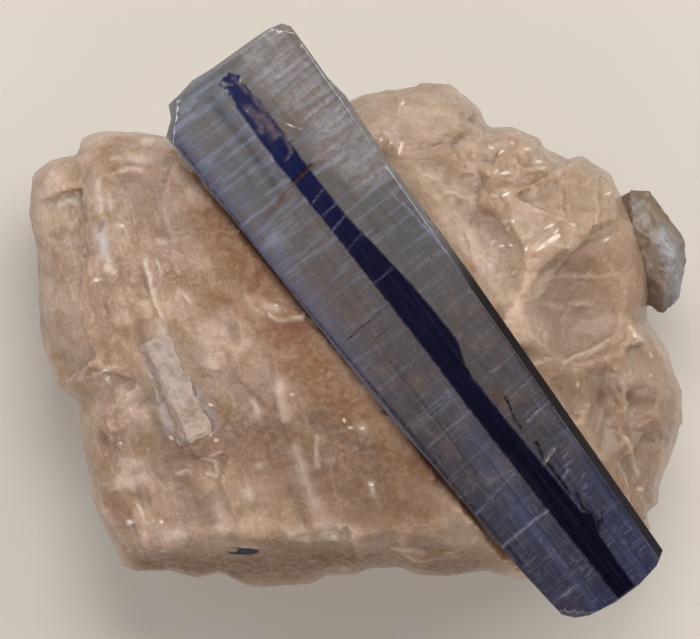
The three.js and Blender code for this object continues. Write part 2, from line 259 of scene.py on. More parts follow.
def path_distance(plan: np.ndarray, path: Path) -> tuple[np.ndarray, np.ndarray]:
    """Measure how far points lie from a broken line.

    Args:
        plan: Points as an N by 2 array.
        path: The line's corners.

    Returns:
        The distance, positive to the left of the line's direction, and the share of the line's length
        at the nearest place on it.
    """
    corners = np.array(path, float)
    spans = np.linalg.norm(np.diff(corners, axis=0), axis=1)
    reached = np.concatenate([[0.0], np.cumsum(spans)])
    best = np.full(len(plan), 1e9)
    along = np.zeros(len(plan))
    for start, end, before, span in zip(corners[:-1], corners[1:], reached[:-1], spans):
        run = (end - start) / span
        offset = plan - start
        t = np.clip(offset @ run, 0.0, span)
        away = offset - t[:, None] * run
        size = np.linalg.norm(away, axis=1)
        side = np.where(run[0] * away[:, 1] - run[1] * away[:, 0] >= 0, 1.0, -1.0)
        nearer = size < np.abs(best) - 1e-9
        best = np.where(nearer, size * side, best)
        along = np.where(nearer, (before + t) / reached[-1], along)
    return best, along


def around(plan: np.ndarray, path: Path, reach: float) -> np.ndarray:
    """Return the numbers of the points near a path's bounding box."""
    corners = np.array(path, float)
    inside = np.all((plan > corners.min(axis=0) - reach) & (plan < corners.max(axis=0) + reach), axis=1)
    return np.nonzero(inside)[0]


def outline_distance(plan: np.ndarray, outline: Path) -> np.ndarray:
    """Measure how far points lie inside a closed outline, negative outside it."""
    corners = np.array(outline, float)
    ends = np.roll(corners, -1, axis=0)
    nearest = np.full(len(plan), 1e9)
    inside = np.zeros(len(plan), bool)
    for start, end in zip(corners, ends):
        run = end - start
        t = np.clip(((plan - start) @ run) / (run @ run), 0.0, 1.0)
        nearest = np.minimum(nearest, np.linalg.norm(plan - start - t[:, None] * run, axis=1))
        spans = (start[1] > plan[:, 1]) != (end[1] > plan[:, 1])
        rise = run[1] if abs(run[1]) > 1e-12 else 1e-12
        inside ^= spans & (plan[:, 0] < start[0] + run[0] * (plan[:, 1] - start[1]) / rise)
    return np.where(inside, nearest, -nearest)


def split_along(plan: np.ndarray, turn_deg: float) -> tuple[np.ndarray, np.ndarray]:
    """Return how far points lie along and across a direction turned from +X."""
    turn = math.radians(turn_deg)
    along = plan[:, 0] * math.cos(turn) + plan[:, 1] * math.sin(turn)
    across = plan[:, 1] * math.cos(turn) - plan[:, 0] * math.sin(turn)
    return along, across


def noise_at(points: np.ndarray, grain: Point3, seed: float, detail: int = 2) -> np.ndarray:
    """Sample smooth noise.

    Args:
        points: Points in millimetres, N by 3.
        grain: Size of a blotch along each axis, in millimetres.
        seed: Shift that gives a different pattern.
        detail: Octaves.

    Returns:
        Values of about -1 to 1.
    """
    scaled = points / np.array(grain) + seed
    return np.array([noise.fractal(Vector(p), 1.0, 2.1, detail) for p in scaled])


def facets_at(points: np.ndarray, cell: float, seed: float, crests: bool) -> np.ndarray:
    """Sample a surface broken into flat faces.

    Args:
        points: Points in millimetres, N by 3.
        cell: Breadth of a face in millimetres.
        seed: Shift that gives a different pattern.
        crests: Whether the faces meet in crests rather than in valleys.

    Returns:
        Heights, in shares of the face breadth.
    """
    keep, sign = (min, 0.7) if crests else (max, -0.7)
    heights = np.empty(len(points))
    for i, point in enumerate(points / cell + seed):
        place = Vector(point)
        _, centres = noise.voronoi(place)
        planes = []
        for centre in centres:
            tilt = noise.noise_vector(centre * 9.7)
            away = place - centre
            planes.append(tilt.dot(away) + 0.22 * tilt.x + sign * away.length_squared)
        heights[i] = keep(planes) - sign * (place - centres[0]).length_squared
    return heights


class Form(Enum):
    """How a stroke shapes the surface it crosses."""

    RIDGE = "ridge"
    GROOVE = "groove"
    STEP = "step"


class StainAndLight(Enum):
    """What colours a patch of the quartz: staining, and also painted light and shade, in the order in which
    the colours are laid.
    """

    OCHRE_AND_SHADE = "ochre_and_shade"
    PAINTED_SHADE = "painted_shade"
    RUST = "rust"
    VEIL_AND_HIGHLIGHT = "veil_and_highlight"
    PAINTED_LIGHT = "painted_light"
    FROST = "frost"
    BLUE = "blue"


class Mark(Enum):
    """What marks the blade's face, its own marks and some painted highlight and shade, in the order in which
    the colours are laid.
    """

    DARK = "dark"
    RUST = "rust"
    CREAM = "cream"
    PALE_AND_HIGHLIGHT = "light"


@dataclass(frozen=True)
class Stroke:
    """A crest, crack or step that runs across a surface.

    Attributes:
        form: Its cross-section. A step is high to the left of the path's direction.
        height: Height or depth at its middle.
        width: Half breadth of the crest or crack, or of the step's riser.
        path: Where it runs.
        reach: How far a step's raised ground carries before it sinks back.
    """

    form: Form
    height: float
    width: float
    path: Path
    reach: float = 2.4

    def lift(self, plan: np.ndarray) -> np.ndarray:
        """Return how much the stroke raises each plan point."""
        total = np.zeros(len(plan))
        near = around(plan, self.path, self.reach + 3 * self.width)
        away, along = path_distance(plan[near], self.path)
        fade = smoothstep(0.0, 0.15, along) * smoothstep(0.0, 0.15, 1.0 - along)
        if self.form is Form.STEP:
            high = smoothstep(-self.width, self.width, away)
            total[near] = self.height * (high * (1 - smoothstep(self.reach * 0.3, self.reach, away))) * fade
        else:
            body = np.clip(1.0 - np.abs(away) / (1.8 * self.width), 0.0, 1.0)
            total[near] = (self.height if self.form is Form.RIDGE else -self.height) * body * fade
        return total


@dataclass(frozen=True)
class Chip:
    """A small flat break that faces the north light.

    Attributes:
        place: Its middle in plan.
        long: Half its length.
        wide: Half its width.
        turn_deg: Turn of its length from +X.
    """

    place: Point
    long: float
    wide: float
    turn_deg: float

    def depth(self, plan: np.ndarray) -> np.ndarray:
        """Return each plan point's distance from the middle, in shares of the chip's size."""
        along, across = split_along(plan - np.array(self.place), self.turn_deg)
        return np.hypot(along / self.long, across / self.wide)


def painted(plan: np.ndarray, lines: tuple[Line, ...]) -> np.ndarray:
    """Return how strongly a set of drawn lines covers each plan point."""
    total = np.zeros(len(plan))
    for strength, width, path in lines:
        near = around(plan, path, 3 * width)
        away, _ = path_distance(plan[near], path)
        total[near] = np.maximum(total[near], strength * np.exp(-((away / width) ** 2)))
    return total


def merged_copy(source: bpy.types.Object) -> bmesh.types.BMesh:
    """Copy a CAD node's loose triangles into one joined shell."""
    shell = bmesh.new()
    shell.from_mesh(source.data)
    bmesh.ops.remove_doubles(shell, verts=shell.verts, dist=0.002 * MM)
    return shell


def smooth_points(shell: bmesh.types.BMesh, points: list[bmesh.types.BMVert], rounds: int) -> None:
    """Smooth some of a shell's points, round after round."""
    for _ in range(rounds):
        bmesh.ops.smooth_vert(shell, verts=points, factor=0.5,
                              use_axis_x=True, use_axis_y=True, use_axis_z=True)


def surface_below(surface: BVHTree, x: float, y: float) -> Vector | None:
    """Return where a surface is first met from above at a place given in metres."""
    return surface.ray_cast(Vector((x, y, ABOVE_M)), Vector((0.0, 0.0, -1.0)))[0]


def surface_of(piece: bpy.types.Object) -> BVHTree:
    """Return a finished piece's surface, for rays and distances."""
    corners = [vertex.co[:] for vertex in piece.data.vertices]
    return BVHTree.FromPolygons(corners, [face.vertices[:] for face in piece.data.polygons])


def add_object(name: str, data: bpy.types.ID) -> bpy.types.Object:
    """Put a mesh, a light or a camera in the scene."""
    made = bpy.data.objects.new(name, data)
    bpy.context.scene.collection.objects.link(made)
    return made


def coordinates(shell: bmesh.types.BMesh) -> tuple[np.ndarray, np.ndarray]:
    """Return the points and the normals of a shell, the points in millimetres."""
    shell.normal_update()
    points = np.array([v.co[:] for v in shell.verts]) / MM
    normals = np.array([v.normal[:] for v in shell.verts])
    return points, normals


def set_points(shell: bmesh.types.BMesh, points: np.ndarray) -> None:
    """Move a shell's points to places given in millimetres."""
    for vert, place in zip(shell.verts, points * MM):
        vert.co = place
    shell.normal_update()


def write_field(mesh: bpy.types.Mesh, name: str, values: np.ndarray) -> None:
    """Store one number per point as a named attribute that a material reads."""
    layer = mesh.attributes.new(name, "FLOAT", "POINT")
    layer.data.foreach_set("value", values.astype(np.float32))


def dress(shell: bmesh.types.BMesh, name: str, finish: "Finish", nodes: tuple[str, ...],
          sharp_deg: float) -> bpy.types.Object:
    """Turn a shell into a finished piece that rides on the frame.

    Args:
        shell: The piece's shape, freed afterwards.
        name: The piece's name.
        finish: What it is made of.
        nodes: CAD nodes that it stands for.
        sharp_deg: Edges sharper than this stay crisp.

    Returns:
        The piece's object.
    """
    bmesh.ops.triangulate(shell, faces=shell.faces)
    mesh = bpy.data.meshes.new(name)
    shell.to_mesh(mesh)
    shell.free()
    if mesh.validate():
        LOG.info("%s: doubled faces dropped", name)
    mesh.shade_smooth()
    mesh.set_sharp_from_angle(angle=math.radians(sharp_deg))
    piece = add_object(name, mesh)
    mesh.materials.append(finish.material())
    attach(piece, "root")
    if nodes:
        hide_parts(*nodes)
    LOG.info("%s: %d faces", name, len(mesh.polygons))
    return piece


KYANITE_IOR = 1.72
SILK_DEG = -73.0  # Turn of the quartz's silky threads from +X.


class Finish:
    """A material of the specimen."""

    name: str = ""

    def paint(self, tree: Tree, shader: Node, output: Node) -> None:
        """Set the shader's sockets and feed its patterns."""
        raise NotImplementedError

    def material(self) -> bpy.types.Material:
        """Return the finish as a material, made on first use."""
        made = bpy.data.materials.get(self.name)
        if made:
            return made
        made = bpy.data.materials.new(self.name)
        made.use_nodes = True
        tree = made.node_tree
        tree.nodes.clear()
        output = add_node(tree, "ShaderNodeOutputMaterial")
        shader = add_node(tree, "ShaderNodeBsdfPrincipled")
        tree.links.new(shader.outputs["BSDF"], output.inputs["Surface"])
        self.paint(tree, shader, output)
        return made

    def roughness(self, tree: Tree, height: Socket, depth: float) -> Socket:
        """Return normals roughened by a pattern too fine to draw, its depth in millimetres."""
        bump = {"Height": height, "Strength": 1.0, "Distance": depth * MM}
        return add_node(tree, "ShaderNodeBump", bump).outputs["Normal"]


@dataclass(frozen=True)
class VeinQuartz(Finish):
    """Massive vein quartz, broken: milky and see-through by turns, with a glassy shine on fresh breaks.

    Attributes:
        cloud: Breadth of the broad milky clouds.
        patch: Breadth of the patches within them.
        murk: Breadth of the amber and milky blotches.
        fleck: Breadth of the white flecks.
        crumb: Breadth of the sugary speckle.
        grain: Breadth of the sugary surface grain.
        cell: Breadth of the lumps that the healed cracks part.
        facet: Breadth of the small breaks that show as darker and lighter facets.
        glint: Breadth of the smallest facets, each tilted its own way, that glitter.
        thread: Breadth of the silky threads on the west side.
        thread_deg: Turn of the threads from +X.
        stir: How far the clouds and patches are pulled about.
        glow_reach: How far red, green and blue light spreads under the surface.
    """

    name: str = "vein quartz, broken"
    body: str = "#a68c79"
    pale: str = "#b9a291"
    deep: str = "#8c7059"
    pink: str = "#ab9384"
    olive: str = "#8e7659"
    amber: str = "#86694d"
    milk: str = "#cbb29b"
    glassy: str = "#b99f87"
    veil_and_highlight: str = "#d6c8bc"
    painted_glint: str = "#fff4ea"
    haze: str = "#d8bfa8"
    haze_density: float = 40.0
    # The first tone paints shade in part and the second paints shade; the fourth paints highlights in part
    # and the fifth paints light.
    tones: tuple[tuple[StainAndLight, str], ...] = (
        (StainAndLight.OCHRE_AND_SHADE, "#784b15"), (StainAndLight.PAINTED_SHADE, "#54402f"), (StainAndLight.RUST, "#733711"), (StainAndLight.VEIL_AND_HIGHLIGHT, "#dacdc2"),
        (StainAndLight.PAINTED_LIGHT, "#e8d3bf"), (StainAndLight.FROST, "#b4b8c0"), (StainAndLight.BLUE, "#485878"),
    )
    ior: float = 1.544
    cloud: float = 10.0
    murk: float = 4.5
    patch: float = 2.6
    fleck: float = 0.9
    crumb: float = 0.45
    grain: float = 0.35
    cell: float = 5.0
    facet: float = 2.4
    glint: float = 0.5
    thread: float = 0.7
    thread_deg: float = SILK_DEG
    stir: float = 3.0
    glow_reach: Point3 = (3.6, 2.8, 2.2)

    def body_colour(self, tree: Tree, place: Socket, warped: Socket, patch: Socket, fleck: Socket) -> Socket:
        """Cloud and mottle the tan body."""
        cloud = grain_noise(tree, warped, self.cloud, 5.0)
        murk = grain_noise(tree, warped, self.murk, 3.0, 0.5)
        crumb = grain_noise(tree, place, self.crumb, 4.0, 0.65)
        colour = ramp(tree, cloud, {0.36: self.deep, 0.5: self.body, 0.64: self.pale})
        return lay_over(tree, colour, (
            (murk, 0.48, 0.34, 0.7, self.amber), (murk, 0.53, 0.7, 0.65, self.milk),
            (patch, 0.52, 0.66, 0.55, self.pink), (patch, 0.48, 0.36, 0.6, self.olive),
            (fleck, 0.56, 0.7, 0.4, self.veil_and_highlight), (fleck, 0.44, 0.32, 0.35, self.deep),
            (crumb, 0.55, 0.72, 0.4, self.veil_and_highlight), (crumb, 0.45, 0.3, 0.4, self.deep),
        ))

    def whitened(self, tree: Tree, colour: Socket, place: Socket, patch: Socket) -> Socket:
        """Show the healed cracks, and the silky threads of the west side, in white."""
        healed = cells(tree, place, self.cell, "Distance", "DISTANCE_TO_EDGE")
        shown = times(tree, spread(tree, healed, 0.0, 0.025, 0.35, 0.0), spread(tree, patch, 0.46, 0.6))
        colour = blend(tree, shown, colour, self.veil_and_highlight)
        turned = stretched(tree, place, turn_deg=-self.thread_deg)
        thread = grain_noise(tree, stretched(tree, turned, (0.07, 1.0, 0.5)), self.thread, 4.0, 0.6, 0.3)
        silk = times(tree, spread(tree, thread, 0.54, 0.72, 0.0, 0.25), field_value(tree, "silk"))
        return blend(tree, silk, colour, self.veil_and_highlight)

    def stained_and_lit(self, tree: Tree, colour: Socket, fleck: Socket) -> Socket:
        """Lay the staining, and the painted light and shade, over the colour, torn at their edges."""
        torn = spread(tree, fleck, 0.36, 0.62, 0.5, 1.15)
        for colour_kind, tone in self.tones:
            colour = blend(tree, times(tree, field_value(tree, colour_kind.value), torn), colour, tone)
        return colour

    def faceted(self, tree: Tree, colour: Socket, place: Socket, patch: Socket, clear: Socket) -> Socket:
        """Paint shade on the small breaks one by one, and paint highlights along their edges where the quartz
        is clear.
        """
        for size, share in ((self.facet, 0.2), (0.4 * self.facet, 0.24)):
            # Painted shade on some of the breaks and painted highlight along their edges.
            shade = add_node(tree, "ShaderNodeSeparateXYZ", {0: cells(tree, place, size)}).outputs["X"]
            shade = times(tree, times(tree, shade, share), spread(tree, clear, 0.0, 1.0, 0.5, 1.0))
            colour = blend(tree, shade, colour, self.amber)
            edge = cells(tree, place, size, "Distance", "DISTANCE_TO_EDGE")
            edge = times(tree, spread(tree, edge, 0.0, 0.05, 0.3, 0.0), spread(tree, patch, 0.5, 0.66))
            colour = blend(tree, times(tree, edge, clear), colour, self.veil_and_highlight)
        return colour

    def glittering(self, tree: Tree, place: Socket, patch: Socket, clear: Socket, height: Socket) -> Socket:
        """Return the normals of the glassy film, tilted facet by facet so that some of them catch a light."""
        tilt = vector_maths(tree, "SUBTRACT", {0: cells(tree, place, self.glint), 1: (0.5, 0.5, 0.5)})
        fresh = times(tree, spread(tree, patch, 0.52, 0.6, 0.1, 0.8), spread(tree, clear, 0.0, 1.0, 0.5, 1.0))
        tilt = vector_maths(tree, "SCALE", {0: tilt, 3: fresh})
        film = vector_maths(tree, "ADD", {0: self.roughness(tree, height, 0.3), 1: tilt})
        return vector_maths(tree, "NORMALIZE", {0: film})

    def paint(self, tree: Tree, shader: Node, output: Node) -> None:
        """Blend the body colour with its stains, and clear it towards the east."""
        place = vector_maths(tree, "SCALE", {0: own_place(tree), 3: 1 / MM})
        stir = add_node(tree, "ShaderNodeTexNoise", {"Vector": place, "Scale": 0.22, "Detail": 2.0})
        stir = vector_maths(tree, "SCALE", {0: stir.outputs["Color"], 3: self.stir})
        warped = vector_maths(tree, "ADD", {0: place, 1: stir})
        patch = grain_noise(tree, warped, self.patch, 5.0, 0.65)
        fleck = grain_noise(tree, warped, self.fleck, 4.0)
        grain = grain_noise(tree, place, self.grain, 3.0)
        clear, chip = field_value(tree, "clear"), field_value(tree, "chip")
        colour = self.body_colour(tree, place, warped, patch, fleck)
        colour = self.whitened(tree, colour, place, patch)
        colour = self.stained_and_lit(tree, colour, fleck)
        colour = blend(tree, times(tree, clear, 0.4), colour, self.glassy)
        colour = self.faceted(tree, colour, place, patch, clear)
        dull = spread(tree, fleck, 0.35, 0.65, 0.36, 0.56)
        dull = times(tree, dull, spread(tree, clear, 0.0, 1.0, 1.0, 0.85))
        film = times(tree, spread(tree, clear, 0.0, 1.0, 0.6, 1.0), spread(tree, patch, 0.35, 0.6, 0.5, 1.0))
        height = gained(tree, fleck, 2.2, grain)
        feed(tree, shader, {
            # Painted glint: the chips are whitened as if they caught the key light.
            "Base Color": blend(tree, times(tree, chip, 0.55), colour, self.painted_glint),
            "Roughness": times(tree, dull, spread(tree, chip, 0.0, 1.0, 1.0, 0.55)),
            "Transmission Weight": spread(tree, clear, 0.0, 1.0, 0.12, 0.32),
            "Normal": self.roughness(tree, height, 0.06),
            "IOR": self.ior,
            "Specular IOR Level": 0.3,
            "Subsurface Weight": 1.0,
            "Subsurface Radius": tuple(reach * MM for reach in self.glow_reach),
            "Subsurface Scale": 1.0,
            "Coat Weight": film,
            "Coat Roughness": 0.08,
            "Coat IOR": self.ior,
            "Coat Normal": self.glittering(tree, place, patch, clear, height),
        })
        haze = {"Color": linear(self.haze), "Density": self.haze_density}
        feed(tree, output, {"Volume": add_node(tree, "ShaderNodeVolumeAbsorption", haze).outputs[0]})


@dataclass(frozen=True)
class HealedVeil(Finish):
    """A fracture healed over long ago: a sheet of tiny bubbles that shows white inside the clear quartz."""

    name: str = "healed fracture in quartz"

    def paint(self, tree: Tree, shader: Node, output: Node) -> None:
        """Mottle the sheet between milky and tan."""
        mottle = grain_noise(tree, own_place(tree), 1.1 * MM, 4.0)
        feed(tree, shader, {"Base Color": ramp(tree, mottle, {0.4: "#b79a80", 0.6: "#efe5da"}),
                            "Roughness": 0.5, "Transmission Weight": 0.3})


@dataclass(frozen=True)
class BladeKyanite(Finish):
    """Kyanite, cleaved and striated: grey-blue and half clear, with a navy zone along its middle.

    Attributes:
        lower: Colours of the side south-west of the zone, by distance along the blade; the darkening towards
            the south-east end is partly the blade's own colour and partly painted fall-off of the light.
        upper: Colours of the side north-east of it, darkening the same way.
        stripe: Colours of the zone, darkening the same way.
        stria: Breadth of the striations along the blade.
        hatch: Breadth of the fine partings across it.
        column: Breadth of the hazy columns between them.
        band: Breadth of the broad bands along the blade.
        half_length: Half of the length over which the colour zones are laid.
    """

    name: str = "kyanite, cleaved"
    # Part of the darkening towards the south-east end is painted fall-off of the light along the blade.
    lower: tuple[tuple[float, str], ...] = (
        (-38.0, "#61666d"), (-28.0, "#5a5e66"), (-14.0, "#575254"), (0.0, "#4b464a"), (14.0, "#3e3c43"),
        (28.0, "#313241"), (42.0, "#262940"),
    )
    upper: tuple[tuple[float, str], ...] = (
        (-38.0, "#66625f"), (-16.0, "#575757"), (-6.0, "#525153"), (8.0, "#494445"), (20.0, "#3d3a40"),
        (30.0, "#2d3045"), (42.0, "#292d46"),
    )
    stripe: tuple[tuple[float, str], ...] = (
        (-38.0, "#20244a"), (-26.0, "#12163c"), (-10.0, "#080924"), (20.0, "#030318"),
    )
    milky: str = "#8d888d"
    warm: str = "#665850"
    blue: str = "#59658c"
    silver: str = "#828899"
    frost: str = "#858185"
    bare: str = "#706560"
    shade: str = "#151216"
    film: str = "#8f8284"
    rim: str = "#4c4e6e"
    ink: str = "#2c2a33"
    stripe_thread: str = "#2a2e55"
    # The first tone paints shade in part and the last paints highlights in part.
    tones: tuple[tuple[Mark, str, float], ...] = (
        (Mark.DARK, "#08070f", 1.7), (Mark.RUST, "#553417", 1.0), (Mark.CREAM, "#776b69", 0.75),
        (Mark.PALE_AND_HIGHLIGHT, "#959bb8", 0.75),
    )
    ior: float = KYANITE_IOR
    stria: float = 0.22
    hatch: float = 0.3
    column: float = 0.75
    band: float = 1.6
    half_length: float = 44.0

    def zones(self, tree: Tree, along: Socket, stops: tuple[tuple[float, str], ...]) -> Socket:
        """Turn the distance along the blade into a colour."""
        reach = self.half_length
        return ramp(tree, spread(tree, along, -reach, reach),
                    {(place + reach) / (2 * reach): colour for place, colour in stops})

    def body_colour(self, tree: Tree, along: Socket, across: Socket, place: Socket, crossed: Socket,
                    bands: Socket, threads: Socket, hatch: Socket, mottle: Socket) -> Socket:
        """Zone the body along and across, then streak it, hatch it and mottle it."""
        cloud = grain_noise(tree, place, 4.0, 5.0, 0.6)
        columns = grain_noise(tree, crossed, self.column, 5.0, 0.6, 0.15)
        colour = blend(tree, spread(tree, across, -0.6, 0.6), self.zones(tree, along, self.lower),
                       self.zones(tree, along, self.upper))
        warmth = spread(tree, along, 34.0, 16.0, 0.1, 1.0)
        colour = blend(tree, times(tree, spread(tree, cloud, 0.5, 0.7, 0.0, 0.5), warmth), colour, self.warm)
        colour = lay_over(tree, colour, (
            (bands, 0.5, 0.72, 0.25, self.blue), (bands, 0.46, 0.3, 0.25, self.ink),
            (threads, 0.56, 0.76, 0.18, self.milky), (threads, 0.44, 0.26, 0.18, self.ink),
        ))
        end = spread(tree, along, 6.0, -26.0, 0.14, 1.0)
        for limit, most, tone in ((0.68, 0.6, self.silver), (0.34, 0.5, self.warm)):
            colour = blend(tree, times(tree, spread(tree, columns, 0.5, limit, 0.0, most), end), colour, tone)
        partings = spread(tree, hatch, 0.57, 0.74, 0.0, 0.26)
        partings = times(tree, partings, spread(tree, cloud, 0.4, 0.55, 0.2, 1.0))
        colour = blend(tree, partings, colour, self.milky)
        colour = lay_over(tree, colour, ((mottle, 0.55, 0.72, 0.24, self.milky),))
        etched = blend(tree, spread(tree, columns, 0.38, 0.62), self.bare, self.frost)
        return blend(tree, self.etching(tree, mottle), colour, etched)

    def etching(self, tree: Tree, mottle: Socket) -> Socket:
        """Return how etched the surface is."""
        return times(tree, field_value(tree, "etched"), spread(tree, mottle, 0.36, 0.62, 0.3, 0.8))

    def marked(self, tree: Tree, colour: Socket, along: Socket, threads: Socket, mottle: Socket) -> Socket:
        """Lay the dark zone and the drawn marks over the body, and shade the long north-east side."""
        ragged = gained(tree, threads, 0.5, field_value(tree, "stripe"))
        navy = blend(tree, spread(tree, threads, 0.52, 0.74, 0.0, 0.15), self.zones(tree, along, self.stripe),
                     self.stripe_thread)
        colour = blend(tree, spread(tree, ragged, 0.12, 0.42), colour, navy)
        torn = spread(tree, mottle, 0.36, 0.6, 0.3, 0.9)
        for mark, tone, gain in self.tones:
            share = times(tree, times(tree, field_value(tree, mark.value), torn), gain)
            colour = blend(tree, share, colour, tone)
        shaded = times(tree, field_value(tree, "side"), spread(tree, along, 17.0, 28.0, 1.0, 0.3))
        shaded = times(tree, shaded, spread(tree, threads, 0.4, 0.62, 1.0, 0.72))
        return blend(tree, shaded, colour, self.shade)

    def paint(self, tree: Tree, shader: Node, output: Node) -> None:
        """Lay the colour zones along the blade, the striations along it and the partings across it."""
        along, across, depth = (field_value(tree, name) for name in ("along", "across", "depth"))
        place = add_node(tree, "ShaderNodeCombineXYZ", {"X": along, "Y": across, "Z": depth}).outputs[0]
        drawn = stretched(tree, place, (0.04, 1.0, 1.0))
        crossed = stretched(tree, place, (1.0, 0.09, 1.0), 4.0)
        threads = grain_noise(tree, drawn, self.stria, 4.0, 0.65)
        bands = grain_noise(tree, drawn, self.band, 3.0, 0.6)
        hatch = grain_noise(tree, crossed, self.hatch, 4.0, 0.6, 0.1)
        mottle = grain_noise(tree, place, 0.9, 5.0, 0.7, 0.2)
        colour = self.body_colour(tree, along, across, place, crossed, bands, threads, hatch, mottle)
        colour = blend(tree, field_value(tree, "rim"), colour, self.rim)
        side = field_value(tree, "side")
        rough = plus(tree, spread(tree, threads, 0.3, 0.7, 0.1, 0.19), times(tree, side, 0.85))
        feed(tree, shader, {
            "Base Color": self.marked(tree, colour, along, threads, mottle),
            "Roughness": plus(tree, rough, times(tree, self.etching(tree, mottle), 0.25)),
            "Normal": self.roughness(tree, plus(tree, threads, hatch), 0.006),
            "IOR": self.ior,
            "Transmission Weight": 0.2,
            "Coat Weight": times(tree, side, 0.95),
            "Coat Tint": linear(self.film),
            "Coat IOR": 1.2,
            "Coat Roughness": 0.5,
        })


@dataclass(frozen=True)
class WeatheredKyanite(Finish):
    """Weathered kyanite: dull, chalky grey-tan to pale blue-white, with silky streaks along its fibres."""

    name: str = "kyanite, weathered"
    tan: str = "#6c5640"
    pale: str = "#8d9098"
    grey: str = "#574836"
    fibre_deg: float = -56.0

    def paint(self, tree: Tree, shader: Node, output: Node) -> None:
        """Mottle the tan body, whiten it where the field says so, and streak it along the fibres."""
        place = own_place(tree)
        drawn = stretched(tree, stretched(tree, place, turn_deg=-self.fibre_deg), (0.15, 1.0, 1.0))
        mottle = grain_noise(tree, place, 1.5 * MM, 6.0, 0.7, 0.3)
        fibres = grain_noise(tree, drawn, 0.3 * MM, 4.0)
        colour = ramp(tree, mottle, {0.4: self.grey, 0.58: self.tan})
        whitened = times(tree, field_value(tree, "pale"), spread(tree, mottle, 0.35, 0.6, 0.4, 1.0))
        colour = blend(tree, whitened, colour, self.pale)
        streaks = ((fibres, 0.55, 0.72, 0.5, self.pale), (fibres, 0.45, 0.3, 0.4, self.grey))
        feed(tree, shader, {
            "Base Color": lay_over(tree, colour, streaks),
            "Roughness": 0.6,
            "Normal": self.roughness(tree, fibres, 0.06),
            "IOR": KYANITE_IOR,
            "Subsurface Weight": 0.4,
            "Subsurface Radius": (1.2 * MM, 1.0 * MM, 0.9 * MM),
            "Subsurface Scale": 1.0,
        })


@dataclass(frozen=True)
class DarkKyanite(Finish):
    """Kyanite seen end on in a crack: nearly black blue, glossy on its cleavage."""

    name: str = "kyanite, dark"

    def paint(self, tree: Tree, shader: Node, output: Node) -> None:
        """Streak the navy body with grey."""
        streak = grain_noise(tree, own_place(tree), 0.5 * MM, 4.0)
        feed(tree, shader, {"Base Color": ramp(tree, streak, {0.5: "#0c0d1c", 0.7: "#2a2c40"}),
                            "Roughness": 0.5, "IOR": KYANITE_IOR, "Specular IOR Level": 0.25})


@dataclass(frozen=True)
class StudioFloor(Finish):
    """Matte studio board: pale and even."""

    name: str = "studio board, matte"
    tone: str = "#b9b6b0"

    def paint(self, tree: Tree, shader: Node, output: Node) -> None:
        """Set one even matte tone."""
        feed(tree, shader, {"Base Color": linear(self.tone), "Roughness": 0.9})


KEY_LIGHT_M: Point3 = (0.03, 0.42, 0.72)
SPECIMEN_MIDDLE_M: Point3 = (0.0, 0.0, 0.03)

